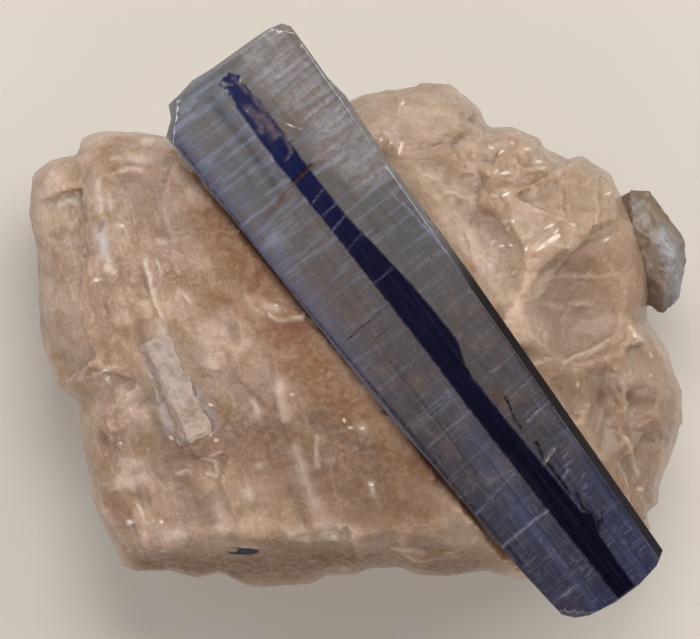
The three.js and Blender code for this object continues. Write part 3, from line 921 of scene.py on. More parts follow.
# Relief of the quartz: height, half width and path in plan. A step is high to the left of its path.
QUARTZ_RELIEF: dict[Form, tuple[Line, ...]] = {
    Form.RIDGE: (
        (0.14, 0.4, ((-37.2, 14), (-36.3, 15.2), (-35.2, 14.7))),
        (0.1, 0.45, ((-30.6, 18.7), (-28.6, 19), (-26.4, 18.6))),
        (0.09, 0.4, ((-28.6, 20.4), (-27.2, 20.6), (-26.2, 20))),
        (0.1, 0.4, ((-32.6, 17.2), (-32.2, 14.5), (-31.9, 12.4))),
        (0.1, 0.45, ((-32.3, 10.6), (-31.6, 8.2), (-31, 6.6))),
        (0.1, 0.3, ((-26.5, 7.6), (-25.6, 4.6), (-24.8, 1.6), (-23.8, -1.2))),
        (0.07, 0.22, ((-24.9, 7.4), (-24.2, 5.8))),
        (0.07, 0.2, ((-28.8, 16.2), (-28.1, 14.1), (-27.4, 12.3))),
        (0.1, 0.3, ((-22.4, 3.8), (-21.4, 3), (-20.8, 2))),
        (0.12, 0.3, ((-33, -6.8), (-31.4, -6.1), (-29.8, -5.8), (-28, -6), (-26.2, -7))),
        (0.09, 0.25, ((-31.4, -7), (-30.8, -8))), (0.09, 0.22, ((-29.5, -17.4), (-29.3, -19.2))),
        (0.1, 0.35, ((-28.4, -18), (-27.2, -17.2), (-26.3, -17.6))),
        (0.09, 0.18, ((-27.5, -22.8), (-26.9, -23.6), (-26.4, -24.8))),
        (0.1, 0.3, ((-28.9, -25.3), (-28, -25))),
        (0.1, 0.25, ((-21.2, -6.8), (-20.3, -9.4), (-18.7, -11.4))),
        (0.07, 0.2, ((-20.6, -8.6), (-19.4, -10.6))),
        (0.07, 0.2, ((-18.6, -17), (-17.7, -16.7), (-16.9, -16.4))),
        (0.07, 0.2, ((-19.3, -17.3), (-18.5, -17.5), (-17.5, -17.5))),
        (0.07, 0.2, ((-18.8, -19), (-18, -19), (-17.3, -19.3))),
        (0.07, 0.2, ((-22.7, -19), (-21.7, -18.8), (-20.7, -18.9))),
        (0.09, 0.4, ((-17.4, -23), (-17, -24.6), (-16.8, -26.4))),
        (0.09, 0.4, ((-13.8, -21), (-13.3, -22.6))), (0.09, 0.35, ((-12.9, -9.9), (-12.4, -11.4))),
        (0.07, 0.6, ((-9.7, -7.8), (-9, -12.2))),
        (0.07, 0.6, ((-7.8, -15.8), (-6.6, -19.6), (-5.2, -23.4))),
        (0.07, 0.25, ((-5, -14.4), (-4.8, -18.2))), (0.2, 0.3, ((5.8, -28.9), (7.6, -29.6), (9.2, -29.9))),
        (0.17, 0.2, ((10.8, -29.1), (12.6, -28.5), (14.2, -27.8), (15.2, -27))),
        (0.1, 0.25, ((-10.9, 0.9), (-10, 0.2), (-8.6, 0), (-6.9, 0.1), (-5.4, -0.8))),
        (0.07, 0.25, ((-13.6, 2.8), (-13, 1.6), (-11.6, 0.9))),
        (0.31, 0.5, ((3.2, 24), (4.2, 22.6), (5.4, 21.6))),
        (0.23, 0.25, ((5, 28.9), (5.3, 27.6), (5.7, 26.2))),
        (0.17, 0.5, ((5.6, 27.1), (9, 27.9), (12.4, 27.2))),
        (0.17, 0.5, ((8.6, 25.2), (11.6, 26.2), (13, 25.4))),
        (0.15, 0.16, ((5.4, 20.5), (9, 21.4), (12.6, 22.6), (16.2, 23.4))),
        (0.15, 0.16, ((6.4, 21.5), (10, 22.2), (13.4, 23.2))),
        (0.15, 0.16, ((6.4, 19.9), (10.6, 20.7), (14, 21.4))),
        (0.27, 0.3, ((16.4, 21), (17.2, 21.9), (18.4, 22.2), (19.6, 22.4))),
        (0.23, 0.3, ((17, 20.4), (18.2, 20.8), (19, 21.6))),
        (0.31, 0.35, ((19.9, 23.6), (20.5, 21.6), (21.4, 19.6))),
        (0.23, 0.35, ((21, 21.6), (22.4, 21.4), (23.6, 20.4))),
        (0.34, 0.3, ((22.2, 17.2), (24.6, 18.2), (27, 19.6), (28.6, 20.2))),
        (0.23, 0.3, ((21.4, 15.6), (23.4, 16.8), (26, 18.6))),
        (0.31, 0.35, ((15.9, 15.4), (17.2, 16), (19.4, 16.2))),
        (0.2, 0.16, ((25.2, 16.8), (25.4, 14.6), (25.8, 12.2))),
        (0.2, 0.16, ((26, 17.2), (26.2, 14.6), (26.6, 12.8))),
        (0.27, 0.25, ((30, 19.2), (30, 15.6), (30.1, 12.2))),
        (0.34, 0.35, ((33.4, 12.4), (31, 11.2), (28.6, 10.4), (26.4, 8.6), (24.4, 6), (22.6, 3.4),
            (20.6, 1.6))),
        (0.2, 0.4, ((14, 17.6), (14.2, 14.4), (13.7, 11.4), (14.4, 8.8), (15.4, 5.4))),
        (0.17, 0.3, ((23, 5.3), (27, 5.5), (30.4, 5.3), (33.4, 5.6))),
        (0.17, 0.3, ((21.6, 2), (25.6, 1.8), (29.6, 2.3))),
        (0.34, 0.3, ((25.3, -5.9), (27, -4.5), (29.8, -3.5), (31.4, -2.2), (33.2, -1.4))),
        (0.31, 0.35, ((33.6, -0.2), (34.6, -1.4), (35.6, -2.8), (36.8, -4.6))),
        (0.18, 0.25, ((31.8, -4.8), (31.2, -7), (32.2, -9.8), (33.4, -10.8))),
        (0.23, 0.25, ((33.6, -14.2), (34.2, -16.6), (34.9, -19.6))),
    ),
    Form.GROOVE: (
        (0.24, 0.35, ((-34.4, 16.8), (-34.2, 14.4), (-33.6, 12))),
        (0.17, 0.16, ((-29.1, 16.2), (-28.5, 14.2), (-27.8, 12.2))),
        (0.17, 0.2, ((-30.4, -13.9), (-30.4, -15.6))),
        (0.24, 0.35, ((-30.8, -21.8), (-28.8, -21.3), (-27.2, -22.2), (-26.6, -24), (-26.4, -25.2))),
        (0.17, 0.22, ((-26.2, -25.6), (-25.6, -28.2))), (0.21, 0.2, ((-10.4, -8.6), (-10.1, -12.2))),
        (0.14, 0.16, ((-18.2, -13.2), (-18.2, -14.9))),
        (0.24, 0.8, ((-8.5, -20.6), (-7.4, -22.4), (-6.6, -24.6))),
        (0.17, 0.16, ((-13.6, 5.4), (-13.2, 4.2), (-13.2, 3))),
        (0.34, 0.5, ((13, 26.2), (14.4, 24.8), (16.6, 24.2))),
        (0.3, 0.35, ((13.4, 20), (15.6, 20.4), (17.6, 19.6), (20, 19))),
        (0.3, 0.3, ((20.6, 17), (23.6, 18.6), (26.4, 20))),
        (0.22, 0.25, ((21.4, 14.8), (23.8, 15.8), (25.6, 17.6))),
        (0.19, 0.14, ((25.6, 17), (25.8, 14.6), (26.2, 12.4))),
        (0.22, 0.25, ((30.4, 18.6), (30.5, 15.4), (30.6, 12.4))),
        (0.34, 0.3, ((30.4, -8.8), (30.9, -10.8), (31.4, -12.8))),
        (0.34, 0.3, ((31.9, -13), (32.8, -15.4))), (0.14, 0.22, ((33.2, -9.9), (35, -9), (36.8, -8.3))),
        (0.14, 0.22, ((33.8, -10.9), (35.4, -10.4), (37, -10))),
        (0.3, 0.3, ((34.4, -14.9), (37.4, -15.4), (39.2, -14.8))),
    ),
    Form.STEP: (
        (0.32, 0.22, ((-33, 4.8), (-32.3, 5.3), (-31, 5.2), (-29.6, 4.9))),
        (0.28, 0.25, ((-27, 7.8), (-25.9, 4.4), (-25, 1.4), (-23.8, -1.8))),
        (0.24, 0.25, ((-31.6, 4), (-30.9, 1.4), (-29.8, -1.8))),
        (0.28, 0.22, ((-30.1, -8.4), (-29.9, -10.2), (-28.4, -11.9))),
        (0.32, 0.22, ((-31.3, -12), (-31, -13.6), (-30.2, -13.9), (-28.2, -12.9))),
        (0.28, 0.25, ((-26.9, -17), (-25.4, -19), (-24.1, -20.6), (-23.3, -22))),
        (0.24, 0.3, ((-31.4, -21.2), (-29.2, -21.8), (-27.2, -21.4))),
        (0.32, 0.35, ((-24.6, -28.7), (-21.8, -28.2), (-20.8, -26.6))),
        (0.35, 0.35, ((-10, -22.8), (-9.5, -25.4), (-8.6, -27), (-6, -27.7), (-3.4, -27.3), (0.2, -27.9),
            (4.2, -28.4))),
        (0.34, 0.35, ((4, -28.2), (8, -29.7), (11, -29.3), (15.2, -27.2))),
        (0.28, 0.22, ((-11.2, -1.8), (-10.3, -6), (-9.9, -11), (-8.2, -15.5), (-6.9, -19.5), (-5.4, -24))),
        (0.28, 0.25, ((-13.8, 3.4), (-12.8, 1.4), (-10.6, 0.2), (-8, -0.3), (-5.2, -1))),
        (0.24, 0.25, ((-19.6, 3.4), (-16.4, 2.4), (-14, 2.4))),
        (0.38, 0.3, ((20.4, 18.2), (17.4, 18), (15, 19.2))),
        (0.34, 0.3, ((19.8, 15.8), (16.6, 15.2), (15, 17))),
        (0.26, 0.3, ((28.6, -12.6), (30.6, -7.4), (31.4, -4.6))),
    ),
}

# Ground built up between the broad breaks: height, half width and path in plan.
QUARTZ_FILL: tuple[Line, ...] = (
    (2.8, 3.4, ((6, 19), (10, 13), (14, 7.6), (18, 2), (21, -2.4))),
    (0.8, 0.9, ((34.8, -9.2), (35.9, -9.4))), (2.4, 1.9, ((13.4, -23.6), (16, -26.8), (18.8, -29.6))),
)
# Pits of the even net that are smoothed away: middle and reach.
PITS: tuple[tuple[Point, float], ...] = (
    ((8.5, -28.2), 2.4), ((35.4, -9.3), 1.8), ((21.6, -4.3), 1.4), ((3.4, 21.6), 1.6),
)

# Small flat breaks that face the north light: place, half length, half width and turn of the length.
CHIPS: tuple[Chip, ...] = tuple(
    Chip((x, y), long, 0.65 * wide, turn)
    for x, y, long, wide, turn in (
        (24.4, 10.2, 1, 0.5, 30), (22.9, 9.1, 0.8, 0.38, 35), (24.7, 11.1, 0.5, 0.26, 40),
        (23.9, 11.7, 0.6, 0.24, 30), (26.9, 11.9, 0.3, 0.24, 0), (21, 8.9, 0.45, 0.22, 70),
        (16.9, 9.7, 0.35, 0.22, 30), (18.4, 12.3, 0.4, 0.26, 30), (19.3, 12.3, 0.3, 0.22, -20),
        (18.8, 11.4, 0.3, 0.22, 45), (18, 9.3, 0.45, 0.26, 20), (19.2, 9.4, 0.45, 0.24, 30),
        (16.6, 6.8, 0.26, 0.22, 0), (15.3, 8, 0.24, 0.2, 0), (19.6, 6, 0.4, 0.22, 40),
        (6.6, 29.3, 0.6, 0.26, 25), (5.6, 26.9, 0.45, 0.24, 65), (3, 22.6, 0.4, 0.24, 75),
        (4.1, 21.9, 0.35, 0.22, 60), (5.4, 21.4, 0.8, 0.24, 80), (18.4, 18.4, 0.6, 0.24, 5),
        (17.3, 18.5, 0.3, 0.22, 30), (16.7, 21.6, 0.4, 0.24, -30), (18, 21, 0.45, 0.24, 40),
        (19.4, 22.2, 0.3, 0.22, -30), (21.2, 21.4, 0.35, 0.24, 0), (14.6, 20.5, 0.3, 0.22, -50),
        (22.6, 19.8, 0.4, 0.24, 20), (23.2, 19.1, 0.35, 0.24, 30), (18.5, 15.7, 0.5, 0.24, 30),
        (17.2, 15.5, 0.35, 0.22, 0), (30.7, 17.8, 0.26, 0.22, 0), (31.3, 15.8, 0.5, 0.22, 10),
        (32.3, 16.8, 0.24, 0.2, 0), (31.1, 10.1, 0.4, 0.28, 30), (34.6, -1.8, 0.35, 0.24, -60),
        (36.7, -4.3, 0.4, 0.22, -60), (36.6, -6.9, 0.26, 0.22, 0), (31.8, -6.9, 0.26, 0.22, 0),
        (27.5, -8, 0.35, 0.22, 90), (35.3, -21, 0.4, 0.22, 0), (27.5, 2, 0.24, 0.2, 0),
        (-32.4, 5, 0.45, 0.24, 20), (-29.2, 11.8, 0.26, 0.22, 0), (-31.1, -7.2, 0.35, 0.22, 45),
        (-31.4, -6.2, 0.45, 0.22, 20), (-29.5, -15.3, 0.24, 0.2, 0), (-23.2, -14.6, 0.35, 0.24, -50),
        (-18.2, -13.9, 0.4, 0.2, 90), (-17.5, -14.9, 0.3, 0.2, 0), (-18.2, -10.5, 0.3, 0.2, -30),
        (-8.1, -9.2, 0.24, 0.2, 0), (-1.6, -12.4, 0.3, 0.2, 90), (-0.8, -13.3, 0.3, 0.22, 0),
        (0.7, -13.4, 0.24, 0.2, 0), (1.8, -20.4, 0.26, 0.22, 0), (-2.9, -26.9, 0.4, 0.24, -20),
        (-28.3, -25.1, 0.4, 0.26, -20), (-24.4, -25.1, 0.24, 0.2, 0), (-10, 1.9, 0.24, 0.2, 0),
    )
)

# Colour of the quartz, staining and painted light and shade: strength, half width and path in plan.
QUARTZ_STAINS_AND_LIGHT: dict[StainAndLight, tuple[Line, ...]] = {
    # Iron staining in yellow-brown; the broad wash over the south middle (first line) and the band along the
    # south edge (second line) also paint the shade that falls on the south.
    StainAndLight.OCHRE_AND_SHADE: (
        (0.6, 6.5, ((-19, -15), (-10, -14), (-2, -18), (5, -22))),
        (0.9, 2.2, ((-26, -31), (-15, -30.8), (0, -30.4), (12, -30.8), (17, -30))),
        (0.6, 3, ((29, -3), (33, -8), (37, -11))), (0.4, 3.5, ((33, -16), (36, -22))),
        (0.45, 2, ((34, 1), (34.5, 6))),
        (0.85, 3.2, ((-18.5, 13), (-15, 8.5), (-12, 4), (-8, -1), (-3, -8), (2, -14))),
        (0.6, 1.8, ((-19, 2.4), (-15.5, 2.6), (-13.8, 1))),
        (0.85, 3, ((-7, -6), (-4, -10), (0, -13.5), (4, -17), (8, -18.5))),
        (0.35, 1.5, ((-19.5, -7), (-18.5, -10), (-14, -12.5), (-9, -14))),
        (0.4, 1.2, ((-27.2, -1), (-26.6, -2.8))), (0.4, 1.3, ((-32, -3), (-30.6, -4))),
        (0.45, 1.6, ((-29.6, -22.6), (-28.2, -23.4))), (0.4, 1.1, ((-24.8, -12.8), (-24.6, -11))),
        (0.3, 0.6, ((-34.2, 14.4), (-33.8, 12.2))), (0.25, 0.9, ((4.4, 19.6), (8, 19.4), (12, 20.4))),
        (0.5, 3.6, ((27, 6), (31, 7.5), (34.5, 7))), (0.35, 2, ((26, 3), (33, 3.5))),
        (0.5, 1.1, ((33.2, -4.6), (36, -4.6))), (0.5, 1.6, ((35.5, -16.5), (38, -16.4))),
        (0.3, 3, ((21, -2), (25, -6), (28, -12), (31, -18))),
        (0.4, 1.2, ((0.5, 27.2), (2.5, 28.8), (5, 29.6))),
    ),
    StainAndLight.RUST: (
        (1, 0.45, ((-12.6, 6.8), (-12.2, 5.8), (-12.6, 4.9))),
        (0.7, 0.22, ((-13.4, 4.4), (-13.2, 3.2), (-12.2, 4.5))),
        (0.95, 0.75, ((-10.4, -0.9), (-9.6, -1.6), (-9.9, -3))),
        (0.95, 0.6, ((-8.4, -0.6), (-7, -0.9), (-6.6, -1.5))), (0.5, 1.5, ((-10.8, -1.6), (-7.2, -2.6))),
        (0.45, 0.6, ((-14.6, 1), (-12.7, -0.4))), (0.4, 0.3, ((7, 17.9), (9, 19.1), (11, 18.4))),
    ),
    # Painted shade: broad dark washes over the south and south-east of the lump, which turn from the light,
    # and thin dark lines along the creases and cracks.
    StainAndLight.PAINTED_SHADE: (
        (0.7, 4.5, ((24, 1), (30, -5), (33, -13), (35, -20))),
        (0.55, 6, ((-20, -12), (-12, -13), (-3, -18), (2, -20))),
        (0.5, 2.4, ((-23.5, -18), (-21.5, -21), (-18.5, -24))),
        (0.7, 2.2, ((-5, -12.5), (-1, -14.5), (2, -17))), (0.3, 2.4, ((-37.5, -1), (-36, -5))),
        (0.6, 1.9, ((-26, -30.6), (-18, -31), (-8, -30.6), (0, -30), (6, -31), (16, -31.6))),
        (0.3, 1.2, ((-27, -29), (-20, -28.6), (-12, -28.7), (-4, -28.6), (3, -29.2))),
        (0.6, 0.9, ((-8.6, -20.6), (-7.4, -22.4), (-6.6, -24.4))),
        (0.5, 0.7, ((-15.9, -0.4), (-15.1, -2.2))), (0.45, 0.7, ((-27.3, -0.4), (-26, -2.4))),
        (0.3, 2.2, ((-20.6, -4), (-19, -9), (-14, -12))), (0.9, 0.3, ((-15.9, -31.4), (-14.8, -31.7))),
        (0.9, 0.25, ((-13.8, -31.5), (-13.2, -31.7))),
        (0.8, 0.35, ((30.3, -9), (30.9, -11), (31.3, -12.6))), (0.8, 0.3, ((31.9, -13.2), (32.8, -15.4))),
        (0.6, 0.22, ((33.4, -9.8), (36.8, -8.4))), (0.6, 0.22, ((34, -10.8), (36.9, -10))),
        (0.5, 0.25, ((34.5, -15), (37.5, -15.4), (39.2, -14.8))),
        (0.6, 2.2, ((29, -7), (30, -12), (31.5, -17))), (0.5, 0.3, ((21.6, 17.4), (25, 19.1), (28, 20.2))),
        (0.45, 0.3, ((13, 26), (14.6, 24.6), (16.6, 24.1))),
        (0.35, 0.2, ((5.6, 20.8), (9, 21.7), (13, 22.9), (16.2, 23.6))),
        (0.35, 0.2, ((5, 20.1), (9, 20.9), (12.4, 21.7))), (0.9, 0.16, ((-14.3, 8.2), (-14.2, 8))),
        (0.42, 2.6, ((-29, 17), (-25, 14.6), (-22.6, 11.6))), (0.35, 0.5, ((-34.4, 16.4), (-34.1, 13.6))),
        (0.3, 1, ((-33.8, -4.6), (-32.6, -3.4))),
    ),
    # Milky veils in the quartz; but many thin lines along the crests, and the dots on the chips, are painted
    # highlights, and the broad washes north-east of the blade are painted light in its shaded valley.
    StainAndLight.VEIL_AND_HIGHLIGHT: (
        (0.85, 0.42, ((-37.2, 14.1), (-36.4, 15.2), (-35.3, 14.7))),
        (0.45, 1.4, ((-37.5, 18), (-38.8, 15.5))),
        (0.8, 0.45, ((-32.5, 17.2), (-32.1, 15.4), (-31.9, 13.6))),
        (0.65, 0.8, ((-31.8, 10.8), (-31.3, 8.4), (-30.8, 6.4))),
        (0.5, 0.4, ((-30.8, 15.9), (-30.7, 14.2))), (1, 0.18, ((-32.9, 4.8), (-32.4, 5.2), (-31.9, 5.1))),
        (0.5, 0.2, ((-31.6, 5.1), (-29.8, 4.9))), (0.6, 0.35, ((-29.5, 18.7), (-28, 18.9), (-26.6, 18.6))),
        (0.55, 0.45, ((-28.4, 20.5), (-26.4, 20.2))), (0.6, 0.4, ((-26.7, 22.3), (-25.7, 22.6))),
        (0.5, 0.4, ((-30.2, 20.2), (-29.4, 20))), (0.7, 0.14, ((-28.9, 16.1), (-28.2, 14), (-27.6, 12.2))),
        (0.6, 0.35, ((-29.6, 11.9), (-29.1, 11.7))), (0.8, 0.3, ((-26.3, 7.2), (-25.8, 5.4), (-25.6, 4.2))),
        (0.5, 0.16, ((-24.8, 7.4), (-24.3, 6))), (0.65, 0.35, ((-25.4, 3.8), (-24.8, 1.8), (-24, 0))),
        (0.55, 0.6, ((-24.6, 0), (-24, -2.4))), (0.6, 0.5, ((-25.5, -3.2), (-25.2, -6))),
        (0.55, 0.3, ((-22.4, 3.6), (-21.2, 2.8), (-20.8, 2.2))), (0.35, 0.4, ((-24.5, 9.8), (-22.6, 9.8))),
        (0.55, 0.3, ((-22.2, -5), (-21.2, -7.8))), (0.6, 0.25, ((-21, -7), (-20.2, -9.6), (-18.8, -11.4))),
        (0.6, 0.25, ((-33, -6.7), (-31.4, -6.1), (-29.8, -5.8))), (0.6, 0.3, ((-31.4, -7), (-30.9, -7.9))),
        (0.55, 0.5, ((-29.6, -8.6), (-28.4, -9.2))),
        (0.6, 0.16, ((-30.1, -8.8), (-29.8, -10.2), (-28.8, -11.6))),
        (0.55, 0.4, ((-31, -13), (-30.2, -13.6))), (0.3, 1.6, ((-28, -10), (-26.5, -12))),
        (0.5, 0.7, ((-28.6, -18), (-26.8, -17.8))), (0.45, 1.2, ((-28.6, -20), (-26.6, -19.6))),
        (0.6, 0.2, ((-26.6, -17.6), (-25.2, -19.4), (-23.8, -21.2))),
        (0.9, 0.25, ((-28.7, -25.2), (-28.1, -25))),
        (0.6, 0.16, ((-27.4, -22.9), (-26.8, -23.6), (-26.4, -24.7))),
        (0.45, 1.3, ((-23.5, -26.5), (-22, -27))), (0.5, 0.3, ((-24.5, -28.7), (-23.2, -28.6))),
        (0.7, 0.18, ((-24.4, -25.2), (-24.4, -25))), (0.6, 0.18, ((-18.4, -16.9), (-17, -16.4))),
        (0.6, 0.18, ((-19.2, -17.3), (-17.6, -17.6))), (0.6, 0.18, ((-18.7, -19), (-17.4, -19.2))),
        (0.55, 0.18, ((-22.6, -19), (-20.8, -18.9))), (0.5, 0.18, ((-17.6, -17.8), (-17.3, -18.8))),
        (0.45, 0.5, ((-17.3, -23.2), (-17.1, -24.5))), (0.5, 0.6, ((-17, -25.8), (-16.8, -26.4))),
        (0.4, 0.6, ((-13.7, -21.2), (-13.3, -22.4))), (0.5, 0.45, ((-12.9, -9.9), (-12.4, -11.4))),
        (0.4, 0.4, ((-12.2, -18.2), (-11.8, -18))), (0.4, 0.9, ((-9.6, -8), (-9, -12))),
        (0.4, 0.8, ((-7.8, -16), (-6.6, -19.6), (-5.2, -23))), (0.45, 0.3, ((-5, -14.5), (-4.9, -18))),
        (0.5, 0.9, ((-8.4, -26.4), (-6.4, -27))), (0.4, 1.1, ((-4, -26), (-0.5, -26.4))),
        (1, 0.2, ((-3.2, -26.9), (-2.6, -27))), (0.55, 0.35, ((1.7, -20.4), (1.9, -21.4))),
        (0.35, 0.8, ((0.5, -13.2), (1, -13.6))), (0.5, 0.25, ((4.5, -28.4), (6.6, -28.3), (8.2, -28.6))),
        (0.55, 0.25, ((6, -29), (7.6, -29.7), (9, -29.9))),
        (0.5, 0.16, ((11, -29), (12.6, -28.5), (14.2, -27.8), (15, -27))),
        (0.55, 0.25, ((-1.9, -30.9), (-1.3, -31))),
        (0.7, 0.25, ((-10.8, 0.9), (-10, 0.2), (-8.6, 0), (-6.9, 0.1))),
        (0.55, 0.2, ((-6.1, -0.1), (-5.3, -0.8))), (0.5, 0.5, ((-11.4, 1.9), (-10, 1.6))),
        (0.4, 0.3, ((-13.6, 2.7), (-13, 1.6), (-11.6, 0.9))), (0.35, 0.7, ((-18.6, -4.6), (-17.4, -5.6))),
        (0.6, 1.5, ((3.2, 23.8), (4.8, 22.2))), (0.35, 3, ((5, 25.4), (10, 25.4))),
        (0.5, 0.5, ((16.6, 21.4), (18.4, 21.8))), (0.5, 0.6, ((21, 21.4), (22.6, 20.8))),
        (0.55, 0.6, ((22.2, 19.8), (23.4, 19.2))), (0.6, 0.3, ((16.4, 18.5), (17.6, 18.4), (19, 18.5))),
        (0.5, 0.45, ((16.2, 15.8), (18.4, 15.6), (19.4, 16.2))), (0.45, 2.8, ((18, 12), (22, 11))),
        (0.6, 2.6, ((4, 18), (8, 15.6), (12, 10.6), (17, 4), (21, -2))),
        (0.4, 2.4, ((8, 17.6), (12, 16), (13, 12))), (0.35, 1.2, ((22.5, 14.5), (23.5, 13))),
        (0.5, 0.7, ((22.6, 3.6), (24.6, 6.6), (27.2, 9.8))), (0.5, 0.25, ((23, 2), (26, 1.6), (29.5, 2.3))),
        (0.4, 0.22, ((24, 5.6), (28, 5.5), (33, 5.6))),
        (0.65, 0.22, ((25.4, -5.8), (27, -4.5), (29.8, -3.5), (31.2, -2.4))),
        (0.8, 0.8, ((33.8, -0.4), (34.8, -1.6), (35.4, -2.6))),
        (0.55, 0.3, ((35.9, 0.2), (37.2, -2.4), (38.6, -4.6))), (0.4, 1.4, ((32.4, -7), (34.6, -7.4))),
        (0.6, 0.3, ((33.4, -14.4), (34.2, -16.4), (34.8, -19.4))), (0.6, 0.2, ((35, -21), (35.6, -21.1))),
        (0.45, 0.5, ((30.8, 10.2), (31.4, 10))),
    ),
    # Painted light: pale washes over the deep valley north-east of the blade and over the middle of the lump
    # beyond it, which lie in shade.
    StainAndLight.PAINTED_LIGHT: (
        (0.75, 3, ((7, 16.5), (9, 13.5), (12, 9.5), (16, 4.5), (20, -1))),
        (0.85, 2.4, ((18.6, 9), (20.8, 7.8), (22, 4.5))),
    ),
    StainAndLight.FROST: (
        (0.6, 0.8, ((-32, 10.4), (-31.6, 8.6))), (0.85, 1.1, ((-24.4, -3.6), (-23.6, -5.6), (-23.2, -7.4))),
        (0.55, 1.1, ((-20.2, -9.4), (-18.8, -12), (-18.6, -13.6))),
        (0.45, 1, ((-25.8, -3.2), (-25, -7.6), (-23.6, -13.6))),
    ),
    StainAndLight.BLUE: (
        (0.8, 0.32, ((-31.8, 12), (-32, 11.2))),
    ),
}

# Marks on the blade: (s, t) pairs, s along the blade from its middle and t across it to the north-east.
STRIPE_OUTLINE: Path = (
    (-38.8, 1.3), (-33, 1.2), (-28, 1.2), (-22.6, 1), (-16.4, 1.1), (-14.5, 1.25), (-12.3, 1.4),
    (-10.1, 1.8), (-7.6, 2.05), (-4, 2.4), (0.5, 2.65), (4.9, 2.75), (6.3, 2.4), (8.1, 1.65), (10.3, 1.4),
    (15, 1.5), (21, 1.65), (24.6, 1.9), (28.6, 2), (31.4, 2.1), (32.4, 2.9), (33.6, 2.7), (34.6, 2.2),
    (38.9, 1.9), (44.5, 1.8), (44.5, -0.9), (42.9, -0.95), (35.3, -1.05), (28, -1.2), (17.4, -1.35),
    (6, -1.3), (-4, -1.35), (-16, -1.55), (-26, -1.85), (-31, -1.75), (-38.8, -1.7),
)
ETCHED_OUTLINE: Path = (
    (-41, 2), (-34, 2), (-31, 3), (-26.5, 3.6), (-24, 2.2), (-19.8, 3.2), (-16.4, 4.3), (-16, 6.8),
    (-16.2, 9.6), (-41, 9.6),
)
ETCHED_LINES: tuple[float, ...] = (
    -36.6, -34.3, -32.6, -31, -28.5, -26.9, -25.1, -23.7, -22.3, -19.8, -17.6,
)

